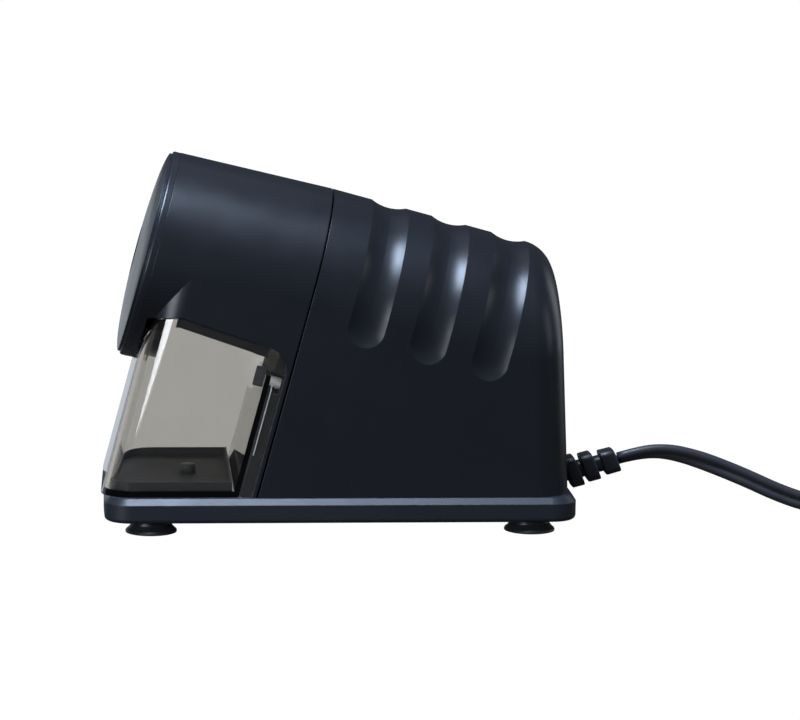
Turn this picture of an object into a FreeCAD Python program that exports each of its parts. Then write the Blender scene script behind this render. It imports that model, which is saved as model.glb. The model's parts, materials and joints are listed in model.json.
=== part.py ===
"""Electric desktop pencil sharpener: drum head, clear shavings bin, cast base, motor, gears and cord."""
import FreeCAD, Part
import math
import os
import re
from types import SimpleNamespace

from FreeCAD import Placement, Rotation, Vector

# ---------------------------------------------------------------------------------------------
# Driving dimensions, in millimetres and degrees.
# World frame: +Z up, the pencil enters from -Y, the cord leaves towards +Y, X = 0 is the middle.
# ---------------------------------------------------------------------------------------------
SIZES = {
    "base_length": 178.0,
    "base_width": 85.6,
    "base_bow": 1.2,
    "base_corner": 10.0,
    "base_bottom": 4.7,
    "base_height": 9.1,
    "base_bevel": 2.2,
    "base_hollow": 6.2,
    "machine_tilt": 14.8,
    "drum_tilt": 12.8,
    "face_y": -72.75,
    "face_height": 100.45,
    "drum_radius": 39.72,
    "drum_lift": 0.3,
    "wall": 2.6,
    "seam": 61.5,
    "seam_gap": 0.7,
    "arch_radius": 39.75,
    "arch_lift": 2.45,
    "arch_depth": 88.0,
    "rear_wall_y": 86.0,
    "rear_draft": 3.0,
    "rear_fillet": 13.0,
    "groove_radius": 16.6,
    "groove_depth": 1.5,
    "groove_start": 84.0,
    "groove_pitch": 23.8,
    "groove_leg": 4.75,
    "skirt_front": 5.7,
    "nose_back": 5.4,
    "skirt_corner": 12.0,
    "bezel_back": 2.5,
    "bezel_nose": 4.6,
    "bezel_rim": 38.6,
    "bore_radius": 4.2,
    "guide_radius": 6.6,
    "guide_end": 24.0,
    "bin_wall": 2.0,
    "bin_back": 59.4,
    "bin_rear_wall": 52.8,
    "bin_rear_top": 28.2,
    "bin_top_front": 16.0,
    "bin_top_rear": 18.3,
    "bin_corner": 9.5,
    "bin_floor": 14.1,
    "bin_gap": 0.3,
    "plate_front": 62.4,
    "plate_thick": 3.0,
    "ring_front": 28.0,
    "ring_thick": 3.0,
    "cutter_radius": 5.6,
    "cutter_offset": 10.0,
    "cutter_lean": 10.5,
    "cutter_front": 31.4,
    "cutter_back": 52.0,
    "pin_radius": 1.5,
    "shaft_radius": 4.0,
    "running_gap": 0.06,
    "press_gap": 0.02,
    "motor_drop": 34.0,
    "rotor_radius": 13.0,
    "air_gap": 0.4,
    "stack_front": 92.0,
    "stack_length": 24.0,
    "stack_width": 50.0,
    "stack_height": 44.0,
    "rotor_shaft_radius": 2.5,
    "gear_module": 0.75,
    "ring_module": 1.0,
    "mesh_gap": 0.12,
    "cup_x": 32.0,
    "cup_y": 71.0,
    "cup_radius": 9.6,
    "cord_width": 7.2,
    "cord_exit_y": 109.8,
    "cord_exit_height": 21.3,
    "coil_radius": 40.0,
    "coil_spread": 7.2,
    "coil_height": 15.0,
}
p = SimpleNamespace(**SIZES)

RING_TEETH = 30
CUTTER_TEETH = 10
CARRIER_TEETH = 56
IDLER_SMALL_TEETH = 14
IDLER_BIG_TEETH = 40
PINION_TEETH = 12
PRESSURE = math.radians(20)

doc = FreeCAD.newDocument("pencil_sharpener")
sheet = doc.addObject("Spreadsheet::Sheet", "Sizes")
for row, (alias, number) in enumerate(SIZES.items(), start=1):
    sheet.set(f"A{row}", alias)
    sheet.set(f"B{row}", str(number))
    sheet.setAlias(f"B{row}", alias)
doc.recompute()

parts = {}

# Machine frame: local X is across, local Y is up the drum face, local Z points out of the face.
# Depth behind the face is measured as "back" along the pencil, so local Z is minus that depth.
FACE_CENTRE = Vector(0, p.face_y, p.face_height)
MACHINE = Placement(FACE_CENTRE, Rotation(Vector(1, 0, 0), 90 - p.machine_tilt))
DRUM = MACHINE * Placement(Vector(0, p.drum_lift, 0), Rotation(Vector(1, 0, 0), p.machine_tilt - p.drum_tilt))

# Frame of the strain relief: local Z leaves the rear wall, leaning up; it ends where the cord starts.
RELIEF_TILT = 15.0
RELIEF_LENGTH = 30.0
RELIEF_HOLE = 4.9
relief_way = Vector(0, math.cos(math.radians(RELIEF_TILT)), math.sin(math.radians(RELIEF_TILT)))
relief_start = Vector(0, p.cord_exit_y, p.cord_exit_height) - relief_way * RELIEF_LENGTH
RELIEF = Placement(relief_start, Rotation(Vector(1, 0, 0), -(90 - RELIEF_TILT)))


def in_machine(across, up, back, turn=None):
    """Placement in the machine frame, at a depth behind the drum's face."""
    return MACHINE * Placement(Vector(across, up, -back), turn or Rotation())


def link(thing, **formulas):
    """Bind properties to formulas whose words are names of cells in the sheet."""
    for name, formula in formulas.items():
        text = re.sub(r"[a-z_]{3,}", lambda word: "Sizes." + word.group(0), str(formula))
        thing.setExpression(name, text)
    return thing


def box(name, corner, length, width, height, place=None):
    thing = link(doc.addObject("Part::Box", name), Length=length, Width=width, Height=height)
    thing.Placement = (place or Placement()) * Placement(Vector(*corner), Rotation())
    return thing


def cylinder(name, radius, height, place):
    thing = link(doc.addObject("Part::Cylinder", name), Radius=radius, Height=height)
    thing.Placement = place
    return thing


def rod(name, radius, across, up, front, back):
    """Round bar along the machine axis between two depths behind the face."""
    return cylinder(name, radius, back - front, in_machine(across, up, back))


def join(name, *things):
    thing = doc.addObject("Part::MultiFuse", name)
    thing.Shapes = list(things)
    thing.Refine = True
    return thing


def cut(name, base, *tools):
    thing = doc.addObject("Part::Cut", name)
    thing.Base = base
    thing.Tool = tools[0] if len(tools) == 1 else join(name + "_tools", *tools)
    return thing


def common(name, first, second):
    thing = doc.addObject("Part::MultiCommon", name)
    thing.Shapes = [first, second]
    return thing


def plain(name, shape, place=None):
    """A shape made with Part's own functions, for forms that primitives cannot give."""
    thing = doc.addObject("Part::Feature", name)
    thing.Shape = shape
    if place:
        thing.Placement = place
    return thing


def keep(label, thing):
    """Register a finished sub-part; its label names its file."""
    thing.Label = label
    parts[label] = thing
    return thing


def new_sketch(body, name, plane="XY_Plane"):
    sketch = body.newObject("Sketcher::SketchObject", name)
    flat = [f for f in body.Origin.OriginFeatures if f.Role == plane][0]
    sketch.AttachmentSupport = [(flat, "")]
    sketch.MapMode = "FlatFace"
    return sketch


def closed_loop(sketch, corners):
    """Straight-sided closed outline through the corners."""
    for start, end in zip(corners, corners[1:] + corners[:1]):
        sketch.addGeometry(Part.LineSegment(Vector(*start, 0), Vector(*end, 0)))


def turned(name, profile, place):
    """Body of revolution about local Z; the profile's points are (radius, height)."""
    body = doc.addObject("PartDesign::Body", name)
    sketch = new_sketch(body, name + "_profile", "XZ_Plane")
    closed_loop(sketch, profile)
    spin = body.newObject("PartDesign::Revolution", name + "_turn")
    spin.Profile = sketch
    spin.ReferenceAxis = (sketch, ["V_Axis"])
    spin.Angle = 360
    body.Placement = place
    return body


def padded(name, corners, height, place, midplane=False, plane="XY_Plane"):
    """Straight prism on an outline."""
    body = doc.addObject("PartDesign::Body", name)
    sketch = new_sketch(body, name + "_outline", plane)
    closed_loop(sketch, corners)
    pad = link(body.newObject("PartDesign::Pad", name + "_pad"), Length=height)
    pad.Profile = sketch
    pad.Midplane = midplane
    body.Placement = place
    return body


def arch(name, radius, half_width, depth, height, back):
    """Inverted U prism along the machine axis: a round top on straight sides."""
    body = doc.addObject("PartDesign::Body", name)
    sketch = new_sketch(body, name + "_outline")
    lift = p.arch_lift
    sketch.addGeometry(Part.ArcOfCircle(Part.Circle(Vector(0, lift, 0), Vector(0, 0, 1), radius), 0, math.pi))
    legs = [(-half_width, lift), (-half_width, -depth), (half_width, -depth), (half_width, lift)]
    for start, end in zip(legs, legs[1:]):
        sketch.addGeometry(Part.LineSegment(Vector(*start, 0), Vector(*end, 0)))
    pad = link(body.newObject("PartDesign::Pad", name + "_pad"), Length=height)
    pad.Profile = sketch
    body.Placement = in_machine(0, 0, back)
    return body


def rounded(name, base, radius, wanted):
    """Fillet of every edge for which wanted(edge) is true."""
    doc.recompute()
    thing = doc.addObject("Part::Fillet", name)
    thing.Base = base
    thing.Edges = [(n, radius, radius) for n, edge in enumerate(base.Shape.Edges, start=1) if wanted(edge)]
    if not thing.Edges:
        raise RuntimeError(name + " found no edge to round")
    return thing


def along(edge, direction, lowest=0.0):
    """True for a straight edge along a direction."""
    if edge.Curve.TypeId != "Part::GeomLine" or edge.Length < lowest:
        return False
    return abs(edge.tangentAt(edge.FirstParameter).dot(direction)) > 0.9999


# ---------------------------------------------------------------------------------------------
# Base: a shallow tray with bowed ends, a bevelled rim and hollow underside, on four suction cups
# ---------------------------------------------------------------------------------------------
BASE_TOP = p.base_bottom + p.base_height


def bowed_outline(sketch, half_length, half_width, bow):
    """Rectangle whose two short ends bulge by the bow."""
    for side in (1, -1):
        tip = Vector(0, side * half_length, 0)
        left = Vector(-half_width, side * (half_length - bow), 0)
        right = Vector(half_width, side * (half_length - bow), 0)
        end = Part.Arc(right, tip, left) if side > 0 else Part.Arc(left, tip, right)
        sketch.addGeometry(end)
        low = Vector(side * half_width, bow - half_length, 0)
        high = Vector(side * half_width, half_length - bow, 0)
        sketch.addGeometry(Part.LineSegment(low, high))


base_body = doc.addObject("PartDesign::Body", "base_block")
base_sketch = new_sketch(base_body, "base_outline")
bowed_outline(base_sketch, p.base_length / 2, p.base_width / 2, p.base_bow)
base_pad = link(base_body.newObject("PartDesign::Pad", "base_pad"), Length="base_height")
base_pad.Profile = base_sketch
base_body.Placement = Placement(Vector(0, 0, p.base_bottom), Rotation())
base_round = rounded("base_corners", base_body, p.base_corner, lambda e: along(e, Vector(0, 0, 1)))


def level_edge(edge, height):
    return abs(edge.BoundBox.ZMin - height) < 0.01 and abs(edge.BoundBox.ZMax - height) < 0.01


doc.recompute()
base_bevel = doc.addObject("Part::Chamfer", "base_bevel")
base_bevel.Base = base_round
base_bevel.Edges = [(n, p.base_bevel, p.base_bevel) for n, edge in enumerate(base_round.Shape.Edges, start=1)
                    if level_edge(edge, BASE_TOP)]
base_soft = rounded("base_lower_edge", base_bevel, 1.6, lambda e: level_edge(e, p.base_bottom))

SIDE_RIM = 4.0
END_RIM = 7.0
hollow = box("base_hollow_box", (SIDE_RIM - p.base_width / 2, END_RIM - p.base_length / 2, 0),
             f"base_width - {2 * SIDE_RIM}", f"base_length - {2 * END_RIM}", "base_bottom + base_hollow")
CUPS = {"front_right": (1, -1), "front_left": (-1, -1), "rear_right": (1, 1), "rear_left": (-1, 1)}
CUP_STEM = 3.0
CUP_STEM_TOP = 5.3
CUP_BOSS = 8.0
SCREW_SPOTS = [(34.5, 2.0), (-34.5, 2.0), (34.5, 50.0), (-34.5, 50.0)]
SCREW_BOSS = 5.0
SCREW_WAY = 1.7
SCREW_SINK = 3.3
bosses = []
holes = []
for name, (sx, sy) in CUPS.items():
    spot = Placement(Vector(sx * p.cup_x, sy * p.cup_y, 0), Rotation())
    bosses.append(cylinder("cup_boss_" + name, CUP_BOSS, "base_bottom + base_height - 1", spot))
    holes.append(cylinder("cup_hole_" + name, CUP_STEM + 0.05, f"base_bottom + {CUP_STEM_TOP + 0.3}", spot))
for number, (x, y) in enumerate(SCREW_SPOTS, start=1):
    spot = Placement(Vector(x, y, 0), Rotation())
    bosses.append(cylinder(f"screw_boss_{number}", SCREW_BOSS, "base_bottom + base_height - 1", spot))
    holes.append(cylinder(f"screw_way_{number}", SCREW_WAY, 30, spot))
    holes.append(cylinder(f"screw_sink_{number}", SCREW_SINK, "base_bottom + 3", spot))
floor_hollow = cut("base_hollow_left", hollow, *bosses)
relief_notch = cylinder("relief_notch", RELIEF_HOLE, 14, RELIEF)
floor_limit = box("below_base", (-60, -100, p.base_bottom), 120, 200, 30)
base_cut = cut("base_cut", base_soft, floor_hollow, relief_notch, *holes)
keep("base_plate", common("base_plate_solid", base_cut, floor_limit))

# Half section of a cup: hollow below, a thin flaring lip, and a stem that is pressed into the base.
cup_top = p.base_bottom
CUP_PROFILE = [
    (0, 2.4), (5.0, 2.0), (7.6, 0.9), (8.8, 0), (9.5, 0), (p.cup_radius, 0.5), (p.cup_radius - 0.2, 0.9),
    (8.3, 1.9), (7.4, 3.1), (7.0, cup_top), (CUP_STEM, cup_top), (CUP_STEM, cup_top + CUP_STEM_TOP),
    (0, cup_top + CUP_STEM_TOP)]
for name, (sx, sy) in CUPS.items():
    spot = Placement(Vector(sx * p.cup_x, sy * p.cup_y, 0), Rotation())
    keep("suction_cup_" + name, turned("cup_" + name, CUP_PROFILE, spot))

# ---------------------------------------------------------------------------------------------
# Rear housing: arch shell over the motor, with three hand grips scooped across it
# ---------------------------------------------------------------------------------------------
REAR_START = p.seam + p.seam_gap / 2


def side_envelope(name, back_y, low):
    """Side outline that ends the arch at a slightly leaning rear wall and a level bottom."""
    lean = math.tan(math.radians(p.rear_draft))
    top = 170.0
    outline = [(-150, low), (back_y, low), (back_y - (top - low) * lean, top), (-150, top)]
    return padded(name, outline, 130, Placement(), midplane=True, plane="YZ_Plane")


def on_wall(point, wall_y):
    """True on a wall that leans forward from its foot at the base's top."""
    lean = math.tan(math.radians(p.rear_draft))
    return abs(point.y - (wall_y - (point.z - BASE_TOP) * lean)) < 0.02


def rear_edge(edge):
    """Edges of the leaning rear wall, outer or inner, except its level foot."""
    middle = edge.valueAt((edge.FirstParameter + edge.LastParameter) / 2)
    points = [middle] + [vertex.Point for vertex in edge.Vertexes]
    level = edge.BoundBox.ZMax - edge.BoundBox.ZMin < 0.01
    walls = (p.rear_wall_y, p.rear_wall_y - p.wall)
    return not level and any(all(on_wall(point, wall_y) for point in points) for wall_y in walls)


def housing_form(name, radius, wall_y, front_depth, fillet):
    """Solid form of the rear housing's outside or inside."""
    long_arch = arch(name + "_arch", radius, radius, p.arch_depth, front_depth, REAR_START + 120)
    raw = common(name + "_raw", long_arch, side_envelope(name + "_envelope", wall_y, BASE_TOP))
    return rounded(name, raw, fillet, rear_edge)


inner_radius = p.arch_radius - p.wall
rear_outer = housing_form("rear_outer", p.arch_radius, p.rear_wall_y, 120, p.rear_fillet)
rear_inner = housing_form("rear_inner", inner_radius, p.rear_wall_y - p.wall, 125, p.rear_fillet - p.wall)

scoops = []
ring_radius = p.arch_radius + p.groove_radius - p.groove_depth
for number in range(3):
    back = p.groove_start + number * p.groove_pitch
    over = doc.addObject("Part::Torus", f"grip_{number}_over")
    link(over, Radius1=ring_radius, Radius2="groove_radius", Angle3=180)
    over.Placement = in_machine(0, p.arch_lift, back)
    pieces = [over]
    for side in (1, -1):
        leg = cylinder(f"grip_{number}_leg_{side + 1}", "groove_radius", "groove_leg",
                       in_machine(side * ring_radius, p.arch_lift, back, Rotation(Vector(1, 0, 0), 90)))
        tip = link(doc.addObject("Part::Sphere", f"grip_{number}_tip_{side + 1}"), Radius="groove_radius")
        tip.Placement = in_machine(side * ring_radius, p.arch_lift - p.groove_leg, back)
        pieces += [leg, tip]
    scoops.append(join(f"grip_{number}", *pieces))

SCREW_RADIUS = 1.25
rear_bosses = []
boss_holes = []
for number, (x, y) in enumerate(SCREW_SPOTS, start=1):
    spot = Placement(Vector(x, y, BASE_TOP), Rotation())
    boss = cylinder(f"rear_boss_{number}", 3.4, 18, spot)
    rear_bosses.append(common(f"rear_boss_inside_{number}", boss, rear_outer))
    boss_holes.append(cylinder(f"rear_boss_hole_{number}", SCREW_RADIUS + 0.05, 14, spot))
cord_hole = cylinder("cord_hole", RELIEF_HOLE, 14, RELIEF)
rear_shell = cut("rear_shell", rear_outer, rear_inner)
rear_ribbed = join("rear_with_bosses", rear_shell, *rear_bosses)
keep("rear_housing", cut("rear_housing_solid", rear_ribbed, *scoops, *boss_holes, cord_hole))

# ---------------------------------------------------------------------------------------------
# Front housing: drum and skirt, open below for the bin
# ---------------------------------------------------------------------------------------------
FRONT_END = p.seam - p.seam_gap / 2
skirt_half = p.drum_radius - 0.02
skirt_top = 1.3


def skirt_block(name, inset, front, back, top, low=90.0):
    """Block below the drum with its two front corners rounded."""
    half = skirt_half - inset
    block = box(name + "_block", (-half, -low, -back), 2 * half, low + top, back - front, MACHINE)
    up = MACHINE.Rotation.multVec(Vector(0, 1, 0))
    face = MACHINE.multVec(Vector(0, 0, -front))
    out = MACHINE.Rotation.multVec(Vector(0, 0, 1))
    return rounded(name, block, p.skirt_corner - inset,
                   lambda e: along(e, up) and abs((e.Vertexes[0].Point - face).dot(out)) < 0.01)


above_base = box("above_base", (-80, -160, BASE_TOP), 160, 320, 200)
drum_slab = box("drum_slab", (-80, -80, -FRONT_END), 160, 160, FRONT_END - p.bezel_back, MACHINE)
drum_round = cylinder("drum_round", "drum_radius", 90, DRUM * Placement(Vector(0, 0, -80), Rotation()))
drum_outer = common("drum_outer", drum_round, drum_slab)
skirt_outer = skirt_block("skirt_outer", 0.0, p.skirt_front, FRONT_END, skirt_top)
front_outer = common("front_outer", join("front_outer_join", drum_outer, skirt_outer), above_base)
drum_inner = cylinder("drum_inner", "drum_radius - wall", 90, DRUM * Placement(Vector(0, 0, -85), Rotation()))
skirt_inner = skirt_block("skirt_inner", p.wall, p.skirt_front + p.wall, FRONT_END + 5, skirt_top)


# The bin's top edge runs nearly along the machine, and drops faster in front of this depth.
BIN_KINK = 17.4
FRONT_SLOPE = 0.33


def bin_side(name, grow, half, low):
    """Side outline of the bin: sloping top edge, round rear corner, rear edge along the seam."""
    front, back = -20.0, p.bin_back + grow
    slope = (p.bin_top_rear - p.bin_top_front) / 33.0
    top_at = lambda depth: -(p.bin_top_front + (depth - BIN_KINK) * slope) + grow
    front_top = top_at(BIN_KINK) - (BIN_KINK - front) * FRONT_SLOPE
    corner = p.bin_corner + grow
    first = (-(back - corner), top_at(back - corner))
    last = (-back, top_at(back - corner) - corner * 0.97)
    bend = (-back + corner * 0.28, top_at(back - corner) - corner * 0.26)
    edges = [
        Part.LineSegment(Vector(-front, front_top, 0), Vector(-BIN_KINK, top_at(BIN_KINK), 0)),
        Part.LineSegment(Vector(-BIN_KINK, top_at(BIN_KINK), 0), Vector(*first, 0)),
        Part.Arc(Vector(*first, 0), Vector(*bend, 0), Vector(*last, 0)),
        Part.LineSegment(Vector(*last, 0), Vector(-back, -low, 0)),
        Part.LineSegment(Vector(-back, -low, 0), Vector(-front, -low, 0)),
        Part.LineSegment(Vector(-front, -low, 0), Vector(-front, front_top, 0)),
    ]
    body = doc.addObject("PartDesign::Body", name)
    sketch = new_sketch(body, name + "_outline")
    for edge in edges:
        sketch.addGeometry(edge)
    pad = link(body.newObject("PartDesign::Pad", name + "_pad"), Length=2 * half)
    pad.Profile = sketch
    pad.Midplane = True
    # Outline's X is out of the face and its Y is up the face, so the prism lies across the machine.
    body.Placement = MACHINE * Placement(Vector(), Rotation(Vector(0, 1, 0), -90))
    return body


# The opening starts behind the drum's nose, which a flat wall closes.
behind_nose = box("behind_nose", (-80, -120, -100), 160, 160, 100 - p.nose_back, MACHINE)
bin_opening = common("bin_opening", bin_side("bin_opening_side", p.bin_gap, 60, 95), behind_nose)
NOSE_WALL = 1.6
nose_wall_slab = box("nose_wall_slab", (-80, -80, -p.nose_back), 160, 80 - 14.5, NOSE_WALL, MACHINE)
nose_wall = common("nose_wall", drum_round, nose_wall_slab)
PLATE_SCREW = 1.2
ACROSS_SCREW = 1.6
BOSS_RING = 34.5
front_boss_spots = [(BOSS_RING * math.cos(math.radians(a)), BOSS_RING * math.sin(math.radians(a)) + 2.0)
                    for a in (25, 90, 155)]
front_bosses = []
front_boss_holes = []
for number, (x, up) in enumerate(front_boss_spots):
    boss = rod(f"front_boss_{number}", 3.2, x, up, 48, p.plate_front - 1.1)
    front_bosses.append(common(f"front_boss_inside_{number}", boss, drum_round))
    front_boss_holes.append(rod(f"front_boss_hole_{number}", PLATE_SCREW + 0.05, x, up, 51, p.plate_front))
# Inner lip that guides the bin's top edge, one strip on each side wall.
LIP_OUT, LIP_IN = 37.2, 36.0
lip_band = cut("lip_band", bin_side("lip_outer", p.bin_gap + 3.0, LIP_OUT, 30),
               bin_side("lip_inner", -3.5, 70, 95))
lip_window = box("lip_window", (-LIP_OUT, -23.5, -51.5), 2 * LIP_OUT, 15.5, 35.3, MACHINE)
lip_gap = box("lip_gap", (-LIP_IN, -30, -70), 2 * LIP_IN, 60, 80, MACHINE)
front_lip = cut("front_lip", common("front_lip_band", lip_band, lip_window), lip_gap)
front_shell = cut("front_shell", front_outer, drum_inner, skirt_inner)
front_open = cut("front_open", front_shell, bin_opening)
front_ribbed = join("front_with_bosses", front_open, nose_wall, front_lip, *front_bosses)
keep("front_housing", cut("front_housing_solid", front_ribbed, *front_boss_holes))

# ---------------------------------------------------------------------------------------------
# Shavings bin: clear box that slides out to the front, with a round gate mark in its floor
# ---------------------------------------------------------------------------------------------
above_floor = box("above_floor", (-80, -160, p.bin_floor), 160, 320, 200)
bin_skirt = skirt_block("bin_skirt", 0.0, p.skirt_front, p.bin_back, 0.0)
bin_outer = common("bin_outer", common("bin_outer_low", bin_skirt, above_floor),
                   bin_side("bin_profile", 0.0, 60, 95))
drum_clear = cylinder("drum_clear", "drum_radius + 0.5", 90, DRUM * Placement(Vector(0, 0, -80), Rotation()))
above_inside = box("above_inside", (-80, -160, p.bin_floor + p.bin_wall), 160, 320, 200)
bin_inner = common("bin_inner", skirt_block("bin_inner_skirt", p.bin_wall, p.skirt_front + p.bin_wall,
                                            p.bin_rear_wall, 20.0), above_inside)
inner_half = skirt_half - p.bin_wall
REAR_WALL_BACK = p.bin_rear_wall + p.bin_wall
# The rear wall is lower than the side walls, which run on behind it to the seam.
behind_bin = -p.bin_back - 1
rear_low = box("bin_rear_low", (-inner_half, -p.bin_rear_top, behind_bin), 2 * inner_half, 40, 10, MACHINE)
rear_space = box("bin_rear_space", (-inner_half, -95, behind_bin), 2 * inner_half, 130,
                 -REAR_WALL_BACK - behind_bin, MACHINE)
# A shallow round dimple on each side wall is where a finger and thumb hold the bin.
DIMPLE_RADIUS, DIMPLE_DEPTH = 7.4, 0.9
dimple_ball = (DIMPLE_RADIUS ** 2 + DIMPLE_DEPTH ** 2) / (2 * DIMPLE_DEPTH)
dimples = []
for side in (1, -1):
    ball = link(doc.addObject("Part::Sphere", f"grip_dimple_{side + 1}"), Radius=dimple_ball)
    ball.Placement = in_machine(side * (skirt_half - DIMPLE_DEPTH + dimple_ball), -27.4, 50.8)
    dimples.append(ball)
gate_spot = Placement(Vector(0, -57, p.bin_floor + p.bin_wall - 0.8), Rotation())
gate_mark = cylinder("gate_mark", 3.4, 3, gate_spot)
# The drum clearance is only needed under the drum's nose, so it stops at the front wall's back.
nose_slab = box("nose_slab", (-80, -80, -12), 160, 90, 40, MACHINE)
nose_only = common("drum_nose_clear", drum_clear, nose_slab)
keep("shavings_receptacle", cut("receptacle_solid", bin_outer, bin_inner, rear_low, rear_space, gate_mark,
                                nose_only, *dimples))

# ---------------------------------------------------------------------------------------------
# Drum face: rounded bezel and pencil guide
# ---------------------------------------------------------------------------------------------
outer = p.drum_radius
MOUTH = 9.0


def dome(radius):
    """Height of the bezel's domed face, which falls away quickly near its rim."""
    return p.bezel_nose - 1.4 * (radius / 30) ** 2 - 0.9 * (radius / p.bezel_rim) ** 12


DOME_STEPS = 9
reach = p.bezel_rim - MOUTH - 0.6
face_radii = [p.bezel_rim - reach * (k / DOME_STEPS) ** 1.5 for k in range(DOME_STEPS + 1)]
face_curve = [(radius, dome(radius)) for radius in face_radii]
# A narrow step sets the face off from the rim, whose edge is rounded.
RIM_ROUND = 0.85
rim_curve = [(outer - RIM_ROUND * (1 - math.cos(a)), RIM_ROUND * math.sin(a) - 0.45)
             for a in [math.radians(30 * k) for k in range(4)]]
bezel_profile = [(MOUTH, -p.bezel_back), (outer, -p.bezel_back)] + rim_curve
bezel_profile += [(p.bezel_rim, RIM_ROUND - 0.45)] + face_curve + [(MOUTH, dome(MOUTH) - 0.7)]
bezel_at = MACHINE * Placement(Vector(0, p.drum_lift, 0), Rotation())
keep("front_bezel", turned("front_bezel_body", bezel_profile, bezel_at))

# The guide's mouth narrows to the bore, and a flange behind the bezel holds it.
FLANGE_RADIUS = 13.0
flange_back = -p.bezel_back - 1.6
guide = turned("guide_body", [
    (7.8, 3.2), (8.5, 3.2), (8.5, -p.bezel_back), (FLANGE_RADIUS, -p.bezel_back),
    (FLANGE_RADIUS, flange_back), (p.guide_radius, flange_back), (p.guide_radius, -p.guide_end),
    (p.bore_radius, -p.guide_end), (p.bore_radius, -2.0)], MACHINE)
guide_slot = box("guide_slot", (-1.7, 1.0, -17.5), 3.4, 8, 9.6, MACHINE)
keep("pencil_guide", cut("pencil_guide_solid", guide, guide_slot))


# ---------------------------------------------------------------------------------------------
# Gears
# ---------------------------------------------------------------------------------------------
def tooth_outline(teeth, module, tip, root, thin, turn=0.0):
    """Closed involute outline; tip and root are heights in modules, thin is taken off each flank."""
    pitch = teeth * module / 2
    base = pitch * math.cos(PRESSURE)
    tip_radius, root_radius = pitch + tip * module, pitch - root * module
    involute = lambda angle: math.tan(angle) - angle
    half = math.pi / (2 * teeth) + involute(PRESSURE) - thin / pitch
    start = max(base * 1.0005, root_radius)
    spoke = lambda radius: half - involute(math.acos(min(1.0, base / radius)))
    point = lambda radius, angle: Vector(radius * math.cos(angle), radius * math.sin(angle), 0)
    middle = (start + tip_radius) / 2
    edges = []
    step = 2 * math.pi / teeth
    for number in range(teeth):
        axis = turn + number * step
        foot, half_way, tip_point = spoke(start), spoke(middle), spoke(tip_radius)
        if root_radius < start - 1e-6:
            edges.append(Part.LineSegment(point(root_radius, axis - foot), point(start, axis - foot)))
        edges.append(Part.Arc(point(start, axis - foot), point(middle, axis - half_way),
                              point(tip_radius, axis - tip_point)))
        edges.append(Part.Arc(point(tip_radius, axis - tip_point), point(tip_radius, axis),
                              point(tip_radius, axis + tip_point)))
        edges.append(Part.Arc(point(tip_radius, axis + tip_point), point(middle, axis + half_way),
                              point(start, axis + foot)))
        if root_radius < start - 1e-6:
            edges.append(Part.LineSegment(point(start, axis + foot), point(root_radius, axis + foot)))
        edges.append(Part.Arc(point(root_radius, axis + foot), point(root_radius, axis + step / 2),
                              point(root_radius, axis + step - foot)))
    return Part.Wire([edge.toShape() for edge in edges])


def toothed(name, outline, front, back, place):
    """Prism on a toothed outline, between two depths along the placement's axis."""
    solid = Part.Face(outline).extrude(Vector(0, 0, back - front))
    return plain(name, solid, place * Placement(Vector(0, 0, -back), Rotation()))


TOOTH_TIP, TOOTH_ROOT, TOOTH_THIN = 0.85, 1.2, 0.05
module = p.gear_module
first_mesh = (PINION_TEETH + IDLER_BIG_TEETH) * module / 2 + p.mesh_gap
second_mesh = (IDLER_SMALL_TEETH + CARRIER_TEETH) * module / 2 + p.mesh_gap
# The idler's axis is where the two centre distances cross, on the left side of the machine.
idler_up = -(second_mesh ** 2 - first_mesh ** 2 + p.motor_drop ** 2) / (2 * p.motor_drop)
idler_across = -math.sqrt(second_mesh ** 2 - idler_up ** 2)
CARRIER_AT, IDLER_AT, MOTOR_AT = (0.0, 0.0), (idler_across, idler_up), (0.0, -p.motor_drop)
to_idler = math.atan2(idler_up, idler_across)
idler_to_motor = math.atan2(-p.motor_drop - idler_up, -idler_across)
print("idler axis", [round(v, 4) for v in IDLER_AT])


def spur(name, teeth, turn, front, back, axis_at):
    """Gear of the reduction train, with its first tooth at the given angle."""
    outline = tooth_outline(teeth, module, TOOTH_TIP, TOOTH_ROOT, TOOTH_THIN, turn)
    return toothed(name, outline, front, back, MACHINE * Placement(Vector(*axis_at, 0), Rotation()))


# A tooth of one gear points at the other's axis, where that one has a gap.
carrier_turn = to_idler
small_turn = to_idler + math.pi + math.pi / IDLER_SMALL_TEETH
big_turn = idler_to_motor
pinion_turn = idler_to_motor + math.pi + math.pi / PINION_TEETH

# ---------------------------------------------------------------------------------------------
# Cutting head: fixed ring gear, turning carrier and two leaning cutters
# ---------------------------------------------------------------------------------------------
ring_disc = rod("ring_disc", 36.4, 0, p.arch_lift - 1.0, p.ring_front, p.ring_front + p.ring_thick)
ring_keep = box("ring_keep", (-40, -12, -p.ring_front - 20), 80, 60, 40, MACHINE)
ring_hub = rod("ring_hub", 19.2, 0, 0, p.ring_front, p.ring_front + p.ring_thick)
ring_space = toothed("ring_space", tooth_outline(RING_TEETH, p.ring_module, 1.3, 0.75, -0.09),
                     p.ring_front - 1, p.ring_front + p.ring_thick + 1, MACHINE)
ring_web = common("ring_upper", ring_disc, ring_keep)
keep("ring_gear", cut("ring_gear_solid", join("ring_join", ring_web, ring_hub), ring_space))

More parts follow.
